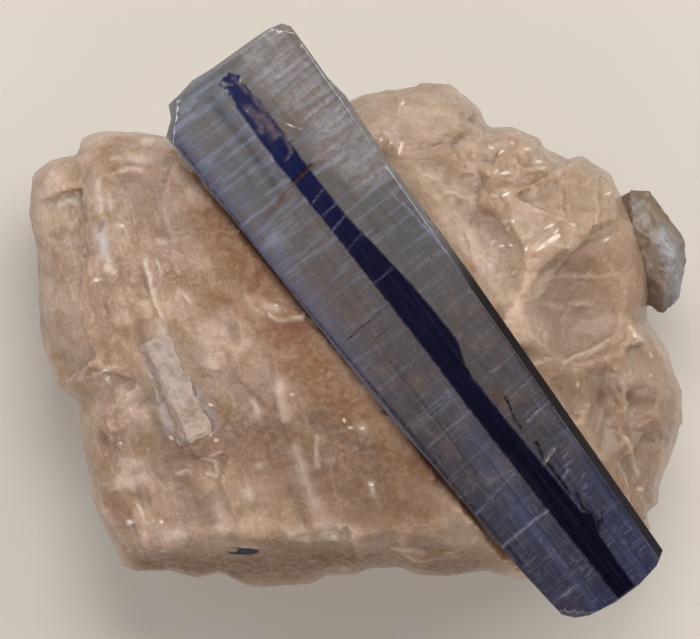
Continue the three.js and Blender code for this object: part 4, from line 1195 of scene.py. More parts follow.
BLADE_MARKS: dict[Mark, tuple[Line, ...]] = {
    # Pale partings and scratches; the line along t = -2 under the dark zone from s = -38 to -20, and the
    # spots at the north-west end near s = -40, are painted highlights.
    Mark.PALE_AND_HIGHLIGHT: (
        (0.45, 0.09, ((-20, 1.3), (-19.3, -1.3))), (0.45, 0.1, ((-17.5, 1.1), (-17.3, -1.2))),
        (0.48, 0.1, ((-15.8, 1.6), (-15, -1.5))), (0.3, 0.1, ((-6.9, 1.8), (-6.7, -1.3))),
        (0.24, 0.09, ((-12.6, 1.2), (-12, -1.4))), (0.18, 0.09, ((1.4, 2.2), (1.9, -1.2))),
        (0.18, 0.09, ((20.2, 1.4), (20.6, -1.2))), (0.18, 0.09, ((28.3, 1.9), (28.5, -1.1))),
        (0.33, 0.14, ((-38.2, -1.9), (-33, -1.95), (-27, -2))), (0.72, 0.18, ((-27.1, -1.95), (-26.6, -2))),
        (0.68, 0.15, ((-24.9, -1.9), (-24.4, -1.95))), (0.48, 0.14, ((-20.3, -1.8), (-19.8, -1.85))),
        (0.24, 0.9, ((-19.3, -7.5), (-18.1, -7.5))),
        (0.72, 0.3, ((-38.3, -5.3), (-37.9, -6.2), (-38.1, -7.2))),
        (0.72, 0.16, ((-40.2, 5.6), (-40.3, 4.8))), (0.72, 0.16, ((-39.9, 7.5), (-39.9, 6.9))),
        (0.72, 0.1, ((-14.6, 7.25), (-12.4, 7.6), (-10.1, 7.9), (-7, 8.15), (-4, 8.25))),
        (0.27, 0.1, ((-4, 8.25), (2, 8.1), (8, 7.9))), (0.27, 0.09, ((-10.7, 3.6), (-10.9, 2.5))),
        (0.39, 0.1, ((14.3, 7.9), (14.8, 3.6))), (0.3, 0.1, ((17.4, 7.9), (17.6, 3.4))),
        (0.72, 0.1, ((18, 7.9), (18.4, 3.4))), (0.36, 0.12, ((13, -1), (13.5, -8.4))),
        (0.33, 0.1, ((9.5, -1.8), (9.8, -8.7))), (0.3, 0.1, ((10.1, -1.8), (10.3, -8.4))),
        (0.27, 0.1, ((10.7, -2), (10.9, -7.6))), (0.48, 0.1, ((22.6, -1.6), (23.6, -8.2))),
        (0.76, 0.14, ((28.7, -1.2), (28.9, -8.5))), (0.45, 0.12, ((38.3, -3.8), (38.3, -7.6))),
        (0.36, 0.12, ((36, -1.4), (36.1, -2.4))), (0.36, 0.12, ((37.1, -1.4), (37.1, -2.4))),
        (0.36, 0.12, ((38.1, -1.4), (38.1, -2.4))), (0.45, 0.12, ((24.6, 5.2), (24.7, 4.3))),
        (0.45, 0.12, ((25.6, 5), (25.7, 4.1))), (0.8, 0.13, ((26.3, 3.9), (26.6, 2.9))),
        (0.45, 0.12, ((27.9, 5.2), (28, 4.4))), (0.36, 0.12, ((29, 4.6), (29.1, 3.9))),
        (0.36, 0.12, ((29.9, 3.9), (30, 3.3))), (0.36, 0.1, ((35.8, 5.9), (35.9, 4.6))),
        (0.36, 0.1, ((36.7, 5.9), (36.8, 4.6))), (0.36, 0.1, ((38.3, 5.9), (38.4, 4.6))),
        (0.36, 0.1, ((39.6, 5.8), (39.7, 4.6))), (0.21, 0.09, ((-33.4, -2.4), (-33, -9.6))),
        (0.21, 0.09, ((-29.6, -3), (-29.3, -8.6))), (0.21, 0.09, ((-14, -2), (-13.6, -9.4))),
        (0.21, 0.09, ((-8.6, -2), (-8.2, -8.6))), (0.21, 0.09, ((3.6, -1.6), (4.1, -8))),
        (0.21, 0.09, ((17.6, -1.6), (18.2, -8.6))), (0.21, 0.09, ((33, -1.6), (33.4, -7.6))),
        (0.21, 0.09, ((6.4, 7.6), (6.8, 3.2))), (0.21, 0.09, ((10.6, 7.6), (11, 2.4))),
        (0.21, 0.09, ((22, 7.4), (22.4, 4.8))), (0.21, 0.09, ((33.2, 7), (33.5, 3.4))),
    ),
    # Dark lines: those along the north-east edge (t about 6.8 to 8.7) and the one along the south-west edge
    # (t about -8 to -10) are painted shade where the blade's sides fall away and meet the quartz; the rest
    # are the blade's own dark lines.
    Mark.DARK: (
        (0.9, 0.14, ((14.3, 3.1), (16.5, 2.6), (18.6, 2.3))), (0.9, 0.18, ((21.1, 2.9), (22.9, 2.4))),
        (0.8, 0.26, ((23.5, 2.3), (26, 2.4), (28.5, 2.3))),
        (0.8, 0.22, ((29.2, 2.9), (31, 2.5), (33.4, 3.1), (34.6, 2.4))),
        (0.9, 0.16, ((33, 4.1), (34, 3.2))), (0.8, 0.3, ((-23.2, 1.4), (-22.8, -1.6))),
        (0.6, 0.1, ((-3.6, -1.6), (-3.2, -8))), (0.35, 0.1, ((-1.3, -2.3), (-1.1, -5))),
        (0.6, 0.14, ((14.9, 3.1), (16.2, 2.7), (17.4, 2.2))), (0.6, 0.14, ((21, 2.6), (23.2, 2.3))),
        (0.8, 0.14, ((-5.05, 6.4), (-4.95, 6.4))),
        (0.7, 0.11, ((-2, 8.65), (0, 8.5), (10, 8.1), (19, 7.6), (26, 7.25))),
        (0.6, 0.1, ((-1, 8.2), (9, 7.8), (18, 7.25), (24, 7))),
        (0.45, 0.1, ((4, 7.6), (14, 7.2), (22, 6.75))),
        (0.55, 0.22, ((-38, -10.2), (-16, -10.2), (-4, -9.6), (10, -8.9), (17, -8.7), (32, -7.8))),
        (0.3, 0.6, ((-37, -3.6), (-30, -3.4), (-24, -3.7))), (0.35, 0.4, ((26, 6.6), (33, 6.2), (40, 5.9))),
        (0.4, 0.16, ((18, -3.2), (27, -3.3), (36, -3.1))),
        (0.35, 0.14, ((2, -5.6), (12, -5.4), (20, -5.5))), (0.45, 0.12, ((24, 3.4), (30, 3.2), (36, 3.3))),
        (0.4, 0.1, ((36.3, -1.4), (36.4, -2.6))), (0.4, 0.1, ((37.5, -1.4), (37.6, -2.6))),
    ),
    Mark.RUST: (
        (0.8, 0.16, ((-23.25, 3.8), (-23.1, 1.3), (-22.7, -1.2), (-22.35, -3.5), (-21.6, -5.1),
            (-21.5, -6.9))),
        (0.9, 0.5, ((-22.4, -3.7), (-22.2, -4.1))), (0.6, 0.45, ((-23.35, 3.6), (-23.3, 3.3))),
        (0.6, 0.45, ((-27.2, -5.7), (-26.6, -5.7))), (0.55, 0.55, ((13.2, 2.4), (13.8, 2.4))),
        (0.25, 0.9, ((38.6, -7), (40.4, -6))), (0.3, 0.6, ((-13, 3), (-11, 3.2))),
    ),
    Mark.CREAM: (
        (0.95, 0.22, ((22.9, 4.3), (23.2, 3.2), (23.8, 2))), (0.5, 0.45, ((-25.4, 3.2), (-23.9, 2.6))),
        (0.7, 0.22, ((-37.8, 0.3), (-36.4, 0.6), (-35.2, 0.5))), (0.6, 0.16, ((-37.6, -0.9), (-37, -0.2))),
        (0.75, 0.32, ((-35, 1.1), (-33.4, 0.8), (-32, 1))),
        (0.8, 0.45, ((-33.6, -0.5), (-32.2, -0.2), (-31, -0.5), (-30.4, -0.9))),
        (0.95, 0.55, ((-32, 0.2), (-30.6, 0.3), (-29, 0.1))),
        (0.7, 0.25, ((-29.4, 0.4), (-28, 0.9), (-26.6, 0.7), (-25.9, 0.4))),
        (0.65, 0.14, ((-26, 0.4), (-25.6, -0.7))), (0.75, 0.22, ((-31.6, 0.9), (-29.6, 2), (-27.6, 3.2))),
        (0.55, 0.3, ((-34.8, 2.9), (-31.4, 3.3), (-27.6, 3.4))),
        (0.45, 0.6, ((-33.4, 2.2), (-31, 2), (-29.2, 1.5))),
    ),
}


GRAIN_NODES = ("kyanite_blade", "pale_kyanite_stub", "pale_kyanite_lath", "dark_kyanite_sliver")


@dataclass
class QuartzLump:
    """The broken lump that everything else grew in.

    Attributes:
        voxel: Spacing of the even mesh that the lump is drawn in.
        visible_floor: Height above which upward faces get twice the detail.
        coarse: Height of the broad breaks, west and east of the blade.
        middle: Height of the thumb-nail breaks, west and east.
        fine: Height of the small breaks, west and east.
        crumbs: Height of the smallest breaks, west and east.
        flank: Height of the great breaks under the lump's widest outline.
        rim_mm: Least and greatest distance from a grain at which the rim is smoothed.
        silk_deg: Turn of the silky striae on the west side from +X.
        least_chip: Half length of the smallest chip that is cut and not only painted with a glint.
    """

    voxel: float = 0.68
    visible_floor: float = 12.0
    coarse: Point = (0.3, 0.55)
    middle: Point = (0.16, 0.38)
    fine: Point = (0.12, 0.2)
    crumbs: Point = (0.07, 0.06)
    flank: float = 1.5
    rim_mm: Point = (0.45, 2.2)
    silk_deg: float = SILK_DEG
    least_chip: float = 0.45
    strokes: tuple[Stroke, ...] = tuple(
        Stroke(form, *line) for form, lines in QUARTZ_RELIEF.items() for line in lines)
    stains_and_light: dict[StainAndLight, tuple[Line, ...]] = field(default_factory=lambda: QUARTZ_STAINS_AND_LIGHT)
    chips: tuple[Chip, ...] = CHIPS

    def hold(self, shell: bmesh.types.BMesh, name: str) -> bpy.types.Object:
        """Put a shell in a passing object so that a modifier can work on it."""
        mesh = bpy.data.meshes.new(name)
        shell.to_mesh(mesh)
        shell.free()
        return add_object(name, mesh)

    def take(self, holder: bpy.types.Object) -> bmesh.types.BMesh:
        """Take the modified shell back and drop the passing object."""
        evaluated = holder.evaluated_get(bpy.context.evaluated_depsgraph_get())
        shell = bmesh.new()
        shell.from_mesh(evaluated.to_mesh())
        evaluated.to_mesh_clear()
        mesh = holder.data
        bpy.data.objects.remove(holder)
        bpy.data.meshes.remove(mesh)
        return shell

    def in_view(self, face: bmesh.types.BMFace) -> bool:
        """Say whether a face is on the open upper side of the lump."""
        return face.normal.z > 0.3 and face.calc_center_median().z > self.visible_floor * MM

    def even_shell(self, source: bpy.types.Object) -> bmesh.types.BMesh:
        """Redraw the CAD lump as an even net of small faces.

        Args:
            source: The CAD node.

        Returns:
            A closed shell.
        """
        holder = self.hold(merged_copy(source), "quartz_start")
        remesh = holder.modifiers.new("even net", "REMESH")
        remesh.mode = "VOXEL"
        remesh.voxel_size = self.voxel * MM
        crisp = holder.modifiers.new("back onto the breaks", "SHRINKWRAP")
        crisp.target = source
        return self.take(holder)

    def close_pits(self, shell: bmesh.types.BMesh) -> None:
        """Smooth the pits away."""
        for (x, y), reach in PITS:
            near = [v for v in shell.verts if math.hypot(v.co.x / MM - x, v.co.y / MM - y) < reach
                    and v.co.z > self.visible_floor * MM]
            smooth_points(shell, near, 30)

    def heal_rim(self, shell: bmesh.types.BMesh, near: np.ndarray) -> None:
        """Smooth the quartz down to the grains it touches.

        Args:
            shell: The lump.
            near: Distance from each point to the nearest grain, in millimetres.
        """
        least, most = self.rim_mm
        rim = [v for v, away in zip(shell.verts, near)
               if least < away < most and v.co.z > self.visible_floor * MM]
        smooth_points(shell, rim, 10)

    def refine(self, shell: bmesh.types.BMesh) -> None:
        """Halve the net on every upward face in the open, and again round the chips."""
        shell.normal_update()
        chosen = {edge for face in shell.faces if self.in_view(face) for edge in face.edges}
        bmesh.ops.subdivide_edges(shell, edges=list(chosen), cuts=1, use_grid_fill=True)
        shell.normal_update()
        shown = [face for face in shell.faces if self.in_view(face)]
        plan = np.array([face.calc_center_median()[:2] for face in shown]) / MM
        close = np.zeros(len(plan), bool)
        for chip in self.chips:
            close |= np.linalg.norm(plan - np.array(chip.place), axis=1) < chip.long + 0.3
        chosen = {edge for face, near in zip(shown, close) if near for edge in face.edges}
        bmesh.ops.subdivide_edges(shell, edges=list(chosen), cuts=1, use_grid_fill=True)

    def drawn_plan(self, points: np.ndarray) -> np.ndarray:
        """Return the points in plan, nudged so that drawn lines run unevenly."""
        nudge = [noise_at(points, (2.5, 2.5, 2.5), seed) for seed in (3.1, 17.3)]
        return points[:, :2] + 0.3 * np.stack(nudge, axis=1)

    def relief(self, points: np.ndarray, east: np.ndarray) -> np.ndarray:
        """Work out how far each point stands off the even shell.

        Args:
            points: Points in millimetres.
            east: Share of the broken, glassy side's character at each point.

        Returns:
            Distances along the normals, in millimetres.
        """
        high = np.zeros(len(points))
        for sizes, cell, seed, crests in ((self.coarse, 7.0, 4.2, True), (self.middle, 2.6, 9.9, False),
                                          (self.fine, 1.1, 2.3, True), (self.crumbs, 0.6, 6.1, False)):
            high += (sizes[0] + (sizes[1] - sizes[0]) * east) * facets_at(points, cell, seed, crests)
        drawn = np.stack([*split_along(points, self.silk_deg), points[:, 2]], axis=1)
        high += (1 - east) * 0.08 * noise_at(drawn, (12.0, 0.9, 6.0), 7.7)
        plan = self.drawn_plan(points)
        lines = sum(stroke.lift(plan) for stroke in self.strokes)
        return high + lines * smoothstep(10.0, 18.0, points[:, 2])

    def break_chips(self, points: np.ndarray, normals: np.ndarray) -> np.ndarray:
        """Flatten the chips towards the north light.

        Args:
            points: Points in millimetres, moved in place.
            normals: The shell's normals.

        Returns:
            Share of a chip at each point.
        """
        shown = (normals[:, 2] > 0.3) & (points[:, 2] > self.visible_floor)
        total = np.zeros(len(points))
        middle = np.array(SPECIMEN_MIDDLE_M)
        light = np.array(KEY_LIGHT_M) - middle
        mirror = light / np.linalg.norm(light) + np.array([0.0, 0.0, 1.0])
        for chip in self.chips:
            depth = chip.depth(points[:, :2])
            body = np.nonzero(shown & (depth < 1.3))[0]
            if not len(body):
                continue
            share = 1 - smoothstep(0.85, 1.25, depth[body])
            away = points[body, :2] - np.array(chip.place)
            total[body] = np.maximum(total[body], share)
            if chip.long < self.least_chip:
                continue
            plane = np.median(points[body, 2]) - (away @ mirror[:2]) / mirror[2]
            points[body, 2] += (plane - points[body, 2]) * share
        return total

    def bank(self, points: np.ndarray, normals: np.ndarray, grain: BVHTree, reach: float) -> None:
        """Bring the quartz round a buried grain level with the grain's top.

        Args:
            points: Points in millimetres, moved in place.
            normals: The shell's normals.
            grain: The grain's surface.
            reach: How far from the grain the quartz is moved.
        """
        for i in np.nonzero((normals[:, 2] > 0.3) & (points[:, 2] > self.visible_floor))[0]:
            place, _, _, away = grain.find_nearest(Vector(points[i] * MM), reach * MM)
            if place is None:
                continue
            inward = Vector((place.x - points[i, 0] * MM, place.y - points[i, 1] * MM, 0.0))
            sample = place + inward.normalized() * 0.5 * MM
            top = surface_below(grain, sample.x, sample.y)
            if top is not None:
                share = float(smoothstep(reach, 0.4, np.array(away / MM)))
                points[i, 2] += float(np.clip(top.z / MM - points[i, 2], -1.5, 1.5)) * share

    def fill_ground(self, points: np.ndarray, normals: np.ndarray) -> None:
        """Build up the ground between the broad breaks, in place."""
        filled = sum(painted(points[:, :2], (line,)) for line in QUARTZ_FILL)
        points[:, 2] += filled * smoothstep(-0.6, 0.0, normals[:, 2]) * smoothstep(10.0, 20.0, points[:, 2])

    def nearest_grains(self, points: np.ndarray, frame: dict) -> tuple[np.ndarray, np.ndarray]:
        """Find the nearest place on any grain.

        Args:
            points: Points in millimetres.

        Returns:
            The distances and the places, in millimetres.
        """
        grains = [BVHTree.FromBMesh(merged_copy(frame["nodes"][name])) for name in GRAIN_NODES]
        found = [min((grain.find_nearest(Vector(point * MM)) for grain in grains), key=lambda hit: hit[3])
                 for point in points]
        return np.array([hit[3] for hit in found]) / MM, np.array([hit[0][:] for hit in found]) / MM

    def east_side(self, points: np.ndarray) -> np.ndarray:
        """Return the share of the broken, glassy side's character: 0 west of the blade and 1 east of it."""
        return smoothstep(-4.0, 8.0, points[:, 0] * 0.795 + points[:, 1] * 0.606 - 5.7)

    def broken(self, points: np.ndarray, normals: np.ndarray, east: np.ndarray,
               near: np.ndarray) -> np.ndarray:
        """Return how far each point moves to draw the breaks, which fade out at the grains and the base."""
        under = smoothstep(0.1, -0.3, normals[:, 2])
        high = self.relief(points, east) + self.flank * facets_at(points, 15.0, 8.8, True) * under
        free = smoothstep(0.3, 1.8, near) * smoothstep(0.2, 3.0, points[:, 2])
        return normals * (high * free)[:, None]

    def write_fields(self, mesh: bpy.types.Mesh, stains_and_light: dict[StainAndLight, np.ndarray], east: np.ndarray,
                     chip: np.ndarray) -> None:
        """Store what the finish reads."""
        for colour_kind, share in stains_and_light.items():
            write_field(mesh, colour_kind.value, share)
        for name, share in (("clear", east), ("silk", 1 - east), ("chip", chip)):
            write_field(mesh, name, share)

    def build(self, frame: dict) -> bpy.types.Object:
        """Build the lump and dress it.


        Returns:
            The finished piece.
        """
        shell = self.even_shell(frame["nodes"]["quartz_matrix"])
        self.close_pits(shell)
        self.refine(shell)
        points, normals = coordinates(shell)
        self.bank(points, normals, BVHTree.FromBMesh(merged_copy(frame["nodes"]["pale_kyanite_lath"])), 2.6)
        self.fill_ground(points, normals)
        near, contact = self.nearest_grains(points, frame)
        east = self.east_side(points)
        plan = self.drawn_plan(points)
        touching = 1.1 * smoothstep(1.0, 0.4, near) * smoothstep(0.5, 2.0, points[:, 2])
        points = points + (contact - points) * touching[:, None] + self.broken(points, normals, east, near)
        chip = self.break_chips(points, normals)
        points[:, 2] -= points[:, 2].min() * smoothstep(6.0, 1.5, points[:, 2])
        set_points(shell, points)
        self.heal_rim(shell, near)
        piece = dress(shell, "quartz_lump", VeinQuartz(), ("quartz_matrix",), 38.0)
        open_air = smoothstep(9.0, 22.0, points[:, 2]) * smoothstep(-0.15, 0.3, normals[:, 2])
        stains_and_light = {colour_kind: painted(plan, lines) * open_air for colour_kind, lines in self.stains_and_light.items()}
        self.write_fields(piece.data, stains_and_light, east, chip)
        return piece


@dataclass(frozen=True)
class Sheet:
    """One healed fracture: its middle, length, width and turns about X, Y and Z in degrees."""

    middle: Point3
    length: float
    width: float
    turns_deg: Point3


@dataclass
class InnerVeils:
    """Healed fractures sealed in the clear part of the quartz.

    Attributes:
        roof: Least depth of a sheet under the quartz's surface.
        thick: Thickness of a sheet.
        wave: How far a sheet bends off its plane.
        sheets: The sheets.
    """

    roof: float = 0.7
    thick: float = 0.06
    wave: float = 0.9
    sheets: tuple[Sheet, ...] = (
        Sheet((19, 11, 24), 11, 7, (38, 10, 20)),
        Sheet((24, 8, 23), 9, 6, (-30, 25, 60)),
        Sheet((29, 7, 21.5), 10, 7, (25, -20, 5)),
        Sheet((16, 21, 24.5), 9, 5, (35, 0, 25)),
        Sheet((29, -2, 20.5), 9, 5, (30, 12, 40)),
        Sheet((34, -6, 18.5), 8, 5, (-28, 10, -30)),
        Sheet((33, -15, 15.5), 8, 5, (25, -15, 70)),
        Sheet((24, 17, 23.5), 8, 5, (-35, 8, 30)),
    )

    def build(self, lump: bpy.types.Object) -> bpy.types.Object:
        """Build the sheets under the lump's own surface.

        Args:
            lump: The finished quartz.

        Returns:
            The finished piece.
        """
        roof = surface_of(lump)
        shell = bmesh.new()
        for number, sheet in enumerate(self.sheets):
            turn = Euler([math.radians(a) for a in sheet.turns_deg]).to_matrix().to_4x4()
            shape = (Matrix.Translation(Vector(sheet.middle) * MM) @ turn
                     @ Matrix.Diagonal((sheet.length * MM / 2, sheet.width * MM / 2, 1.0, 1.0)))
            made = bmesh.ops.create_grid(shell, x_segments=28, y_segments=18, size=1.0, matrix=shape)["verts"]
            normal = turn.to_3x3() @ Vector((0.0, 0.0, 1.0))
            torn = []
            for vert in made:
                place = vert.co / MM
                vert.co += normal * (self.wave * MM * noise.noise(place / 3.5 + Vector((number, 0.0, 0.0))))
                top = surface_below(roof, vert.co.x, vert.co.y)
                if top is None or top.z < vert.co.z + self.roof * MM or noise.noise(place / 1.6) > 0.12:
                    torn.append(vert)
            bmesh.ops.delete(shell, geom=torn, context="VERTS")
        loose = [vert for vert in shell.verts if not vert.link_faces]
        bmesh.ops.delete(shell, geom=loose, context="VERTS")
        bmesh.ops.solidify(shell, geom=shell.faces[:], thickness=self.thick * MM)
        bmesh.ops.recalc_face_normals(shell, faces=shell.faces)
        return dress(shell, "inner_veils", HealedVeil(), (), 40.0)


@dataclass
class KyaniteBlade:
    """The long blade across the lump.

    Attributes:
        heading_deg: Turn of the blade's length from +X.
        middle: Plan point half way along it.
        block: Spacing of the first cuts across the top face.
        cuts: Cuts made in each block.
        skin: Depth of the upper skin that takes the detail.
        score: Depth of the partings, threads and cracks in the top face.
        depths: Depths under the top face at which the blade is cut level.
        reach: How far the cuts go from the middle, along the blade and across it.
        weld_m: Points closer than this to a cut are on it.
    """

    heading_deg: float = -52.7
    middle: Point = (7.2, 0.0)
    block: float = 0.8
    cuts: int = 3
    skin: float = 1.4
    score: float = 0.04
    depths: Point3 = (0.5, 1.4, 4.0)
    reach: Point = (46.0, 11.5)
    weld_m: float = 1e-7
    marks: dict[Mark, tuple[Line, ...]] = field(default_factory=lambda: BLADE_MARKS)

    def local(self, points: np.ndarray) -> np.ndarray:
        """Return points as distances along, across and up from the blade's middle, in millimetres."""
        turn = math.radians(self.heading_deg)
        run = np.array([math.cos(turn), math.sin(turn)])
        side = np.array([-run[1], run[0]])
        plan = points[:, :2] - np.array(self.middle)
        return np.stack([plan @ run, plan @ side, points[:, 2]], axis=1)

    def net(self, shell: bmesh.types.BMesh, top: float) -> None:
        """Cut the upper skin of the blade into a fine net along and across its length."""
        turn = math.radians(self.heading_deg)
        run = Vector((math.cos(turn), math.sin(turn), 0.0))
        side = Vector((-run.y, run.x, 0.0))
        centre = Vector((self.middle[0], self.middle[1], 0.0)) * MM
        for depth in self.depths:
            whole = [*shell.verts, *shell.edges, *shell.faces]
            bmesh.ops.bisect_plane(shell, geom=whole, dist=self.weld_m, plane_co=(0, 0, (top - depth) * MM),
                                   plane_no=(0, 0, 1))
        for axis, reach in ((run, self.reach[0]), (side, self.reach[1])):
            count = int(reach / self.block)
            for index in range(-count, count + 1):
                skin = [f for f in shell.faces if f.calc_center_median().z > (top - self.skin) * MM]
                parts = {item for f in skin for item in (*f.verts, *f.edges)}
                bmesh.ops.bisect_plane(shell, geom=[*parts, *skin], dist=self.weld_m,
                                       plane_co=centre + axis * (index * self.block * MM), plane_no=axis)
        skin = {edge for f in shell.faces if f.normal.z > 0.3
                and f.calc_center_median().z > (top - self.skin) * MM for edge in f.edges}
        bmesh.ops.subdivide_edges(shell, edges=list(skin), cuts=self.cuts, use_grid_fill=True)

    def etching(self, plan: np.ndarray) -> np.ndarray:
        """Return how strongly the cross lines of the etched patch cover each plan point."""
        total = np.zeros(len(plan))
        for start in ETCHED_LINES:
            away = np.abs(plan[:, 0] - start - 0.07 * (9.0 - plan[:, 1]))
            total = np.maximum(total, np.exp(-((away / 0.12) ** 2)))
        return total * smoothstep(0.0, 0.5, outline_distance(plan, ETCHED_OUTLINE))

    def dark_zone(self, own: np.ndarray, nudge: np.ndarray) -> np.ndarray:
        """Return how far each point lies inside the dark zone, which is worn away at one end of the blade."""
        worn = smoothstep(-33.0, -38.5, own[:, 0]) * (0.7 + noise_at(own, (0.8, 0.6, 2.0), 5.2))
        return outline_distance(own[:, :2] + nudge, STRIPE_OUTLINE) - 0.9 * worn

    def drawn_marks(self, own: np.ndarray, plan: np.ndarray, stripe: np.ndarray) -> dict[Mark, np.ndarray]:
        """Return how strongly each kind of mark covers each point."""
        marks = {mark: painted(plan, lines) for mark, lines in self.marks.items()}
        marks[Mark.PALE_AND_HIGHLIGHT] *= 1 - 0.9 * smoothstep(-0.2, 0.3, stripe) * smoothstep(-6.0, 0.0, own[:, 0])
        marks[Mark.PALE_AND_HIGHLIGHT] = np.maximum(marks[Mark.PALE_AND_HIGHLIGHT], 0.3 * self.etching(plan))
        return marks

    def sunk(self, own: np.ndarray, stripe: np.ndarray, etched: np.ndarray,
             marks: dict[Mark, np.ndarray]) -> np.ndarray:
        """Return how far the striations, partings and marks sink the top face, as negative heights."""
        lift = 0.03 * noise_at(own, (14.0, 1.3, 8.0), 2.0) + 0.012 * noise_at(own, (9.0, 0.5, 8.0), 6.0)
        lift += 0.012 * noise_at(own, (0.7, 6.0, 8.0), 9.0) - 0.05
        lift -= self.score * np.maximum(marks[Mark.PALE_AND_HIGHLIGHT], marks[Mark.DARK])
        lift += 0.08 * etched * facets_at(own, 1.8, 3.3, False) - 0.08 * marks[Mark.CREAM]
        lift -= 0.04 * smoothstep(-0.15, 0.15, stripe)
        return np.minimum(lift, 0.0)

    def build(self, frame: dict) -> bpy.types.Object:
        """Build the blade and dress it.


        Returns:
            The finished piece.
        """
        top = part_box("kyanite_blade")[1].z / MM
        shell = merged_copy(frame["nodes"]["kyanite_blade"])
        bmesh.ops.dissolve_limit(shell, angle_limit=math.radians(0.5), verts=shell.verts, edges=shell.edges)
        self.net(shell, top)
        points, normals = coordinates(shell)
        own = self.local(points)
        nudge = 0.1 * np.stack([noise_at(own, (1.2, 1.2, 1.2), seed) for seed in (4.4, 8.1)], axis=1)
        stripe = self.dark_zone(own, nudge)
        etched = smoothstep(-1.0, 1.6, outline_distance(own[:, :2] + 3.0 * nudge, ETCHED_OUTLINE))
        marks = self.drawn_marks(own, own[:, :2] + nudge, stripe)
        on_top = smoothstep(top - 0.3, top - 0.1, points[:, 2])
        points[:, 2] += self.sunk(own, stripe, etched, marks) * on_top
        set_points(shell, points)
        piece = dress(shell, "kyanite_blade_crystal", BladeKyanite(), ("kyanite_blade",), 28.0)
        fields = dict(zip(("along", "across", "depth"), own.T))
        fields |= {"stripe": stripe, "etched": etched, "rim": self.rim(own), "side": self.side(own, normals)}
        fields.update({mark.value: values for mark, values in marks.items()})
        for name, values in fields.items():
            write_field(piece.data, name, values)
        return piece

    def side(self, own: np.ndarray, normals: np.ndarray) -> np.ndarray:
        """Return the share of shade on the long north-east side and its bevel."""
        tilted = smoothstep(0.99, 0.95, normals[:, 2])
        return tilted * smoothstep(5.0, 6.0, own[:, 1]) * smoothstep(-9.0, 4.0, own[:, 0])

    def rim(self, own: np.ndarray) -> np.ndarray:
        """Return the share of blue-violet along the blade's long south-west edge."""
        return 0.5 * smoothstep(-8.8, -9.8, own[:, 1]) * smoothstep(26.0, 10.0, own[:, 0])


@dataclass
class PaleGrain:
    """A smaller kyanite grain in the quartz.

    Attributes:
        node: The CAD node it stands for.
        piece: The finished piece's name.
        slot: The record's material slot. Not used.
        finish: What it is made of.
        net: Longest edge of its mesh.
        relief: Height of its breaks.
        fibre: Height of the fibres along it.
        fibre_deg: Turn of the fibres from +X.
        swell: How far it grows into the quartz round it.
        pinch: Share of its thickness that it loses towards its ends.
        proud: How far its top stands over the quartz at most.
        beside: How far from a point of the top the height of the quartz is read.
        whitened: Lines along which it is weathered white.
    """

    node: str
    piece: str
    slot: str
    finish: Finish
    net: float = 0.35
    relief: float = 0.3
    fibre: float = 0.1
    fibre_deg: float = -56.0
    swell: float = 0.1
    pinch: float = 0.0
    proud: float = 9.0
    beside: float = 1.4
    whitened: tuple[Line, ...] = ()

    def sink(self, points: np.ndarray, ground: BVHTree) -> None:
        """Lower the points, in place, that stand too far over the ground beside the grain."""
        for i, (x, y, _) in enumerate(points):
            drops = [surface_below(ground, (x + dx * self.beside) * MM, (y + dy * self.beside) * MM)
                     for dx, dy in ((1, 0), (-1, 0), (0, 1), (0, -1))]
            level = np.mean([drop.z / MM for drop in drops if drop is not None])
            points[i, 2] = min(points[i, 2], level + self.proud)

    def cut_fine(self, shell: bmesh.types.BMesh) -> None:
        """Halve the long edges until none is longer than the net."""
        for _ in range(6):
            long_edges = [e for e in shell.edges if e.calc_length() > self.net * MM]
            if not long_edges:
                break
            bmesh.ops.subdivide_edges(shell, edges=long_edges, cuts=1)
            bmesh.ops.triangulate(shell, faces=shell.faces)

    def grown(self, points: np.ndarray, normals: np.ndarray) -> np.ndarray:
        """Return the points with their breaks and fibres, swollen sideways and pinched at the ends."""
        drawn = np.stack([*split_along(points, self.fibre_deg), points[:, 2]], axis=1)
        lift = self.relief * (facets_at(points, 2.4, 1.7, True) + 0.6 * facets_at(points, 0.9, 5.1, False))
        lift += self.fibre * noise_at(drawn, (4.0, 0.6, 1.5), 2.2)
        sideways = normals * np.array([1.0, 1.0, 0.0])
        uneven = self.swell * (1.0 + 0.9 * noise_at(points, (1.6, 1.6, 1.6), 3.3))
        grown = points + normals * (lift - 0.05)[:, None] + sideways * uneven[:, None]
        middle = points.mean(axis=0)
        share = 1 - self.pinch * (0.35 + 0.65 * ((points[:, 0] - middle[0]) / np.ptp(points[:, 0]) * 2) ** 2)
        grown[:, 1] = middle[1] + (grown[:, 1] - middle[1]) * share
        return grown

    def build(self, frame: dict, lump: bpy.types.Object) -> bpy.types.Object:
        """Build the grain and dress it.

        Args:
            lump: The finished quartz.

        Returns:
            The finished piece.
        """
        shell = merged_copy(frame["nodes"][self.node])
        self.cut_fine(shell)
        points, normals = coordinates(shell)
        grown = self.grown(points, normals)
        if self.proud < 1.0:
            self.sink(grown, surface_of(lump))
        set_points(shell, grown)
        piece = dress(shell, self.piece, self.finish, (self.node,), 32.0)
        write_field(piece.data, "pale", painted(points[:, :2], self.whitened))
        return piece


STUB_WHITE: tuple[Line, ...] = (
    (1, 1.3, ((38.2, 10.4), (39.6, 7.6), (40.2, 4.6), (39.8, 2.6))), (0.4, 0.7, ((34.6, 14.6), (36, 12.6))),
)
LATH_WHITE: tuple[Line, ...] = (
    (0.3, 1.4, ((-23.9, -3.6), (-23.2, -7), (-22, -9.6))),
    (0.6, 0.35, ((-24.6, -9), (-23.6, -12), (-23.9, -13.6))), (0.25, 1.8, ((-24.2, -3), (-22.6, -6.4))),
)


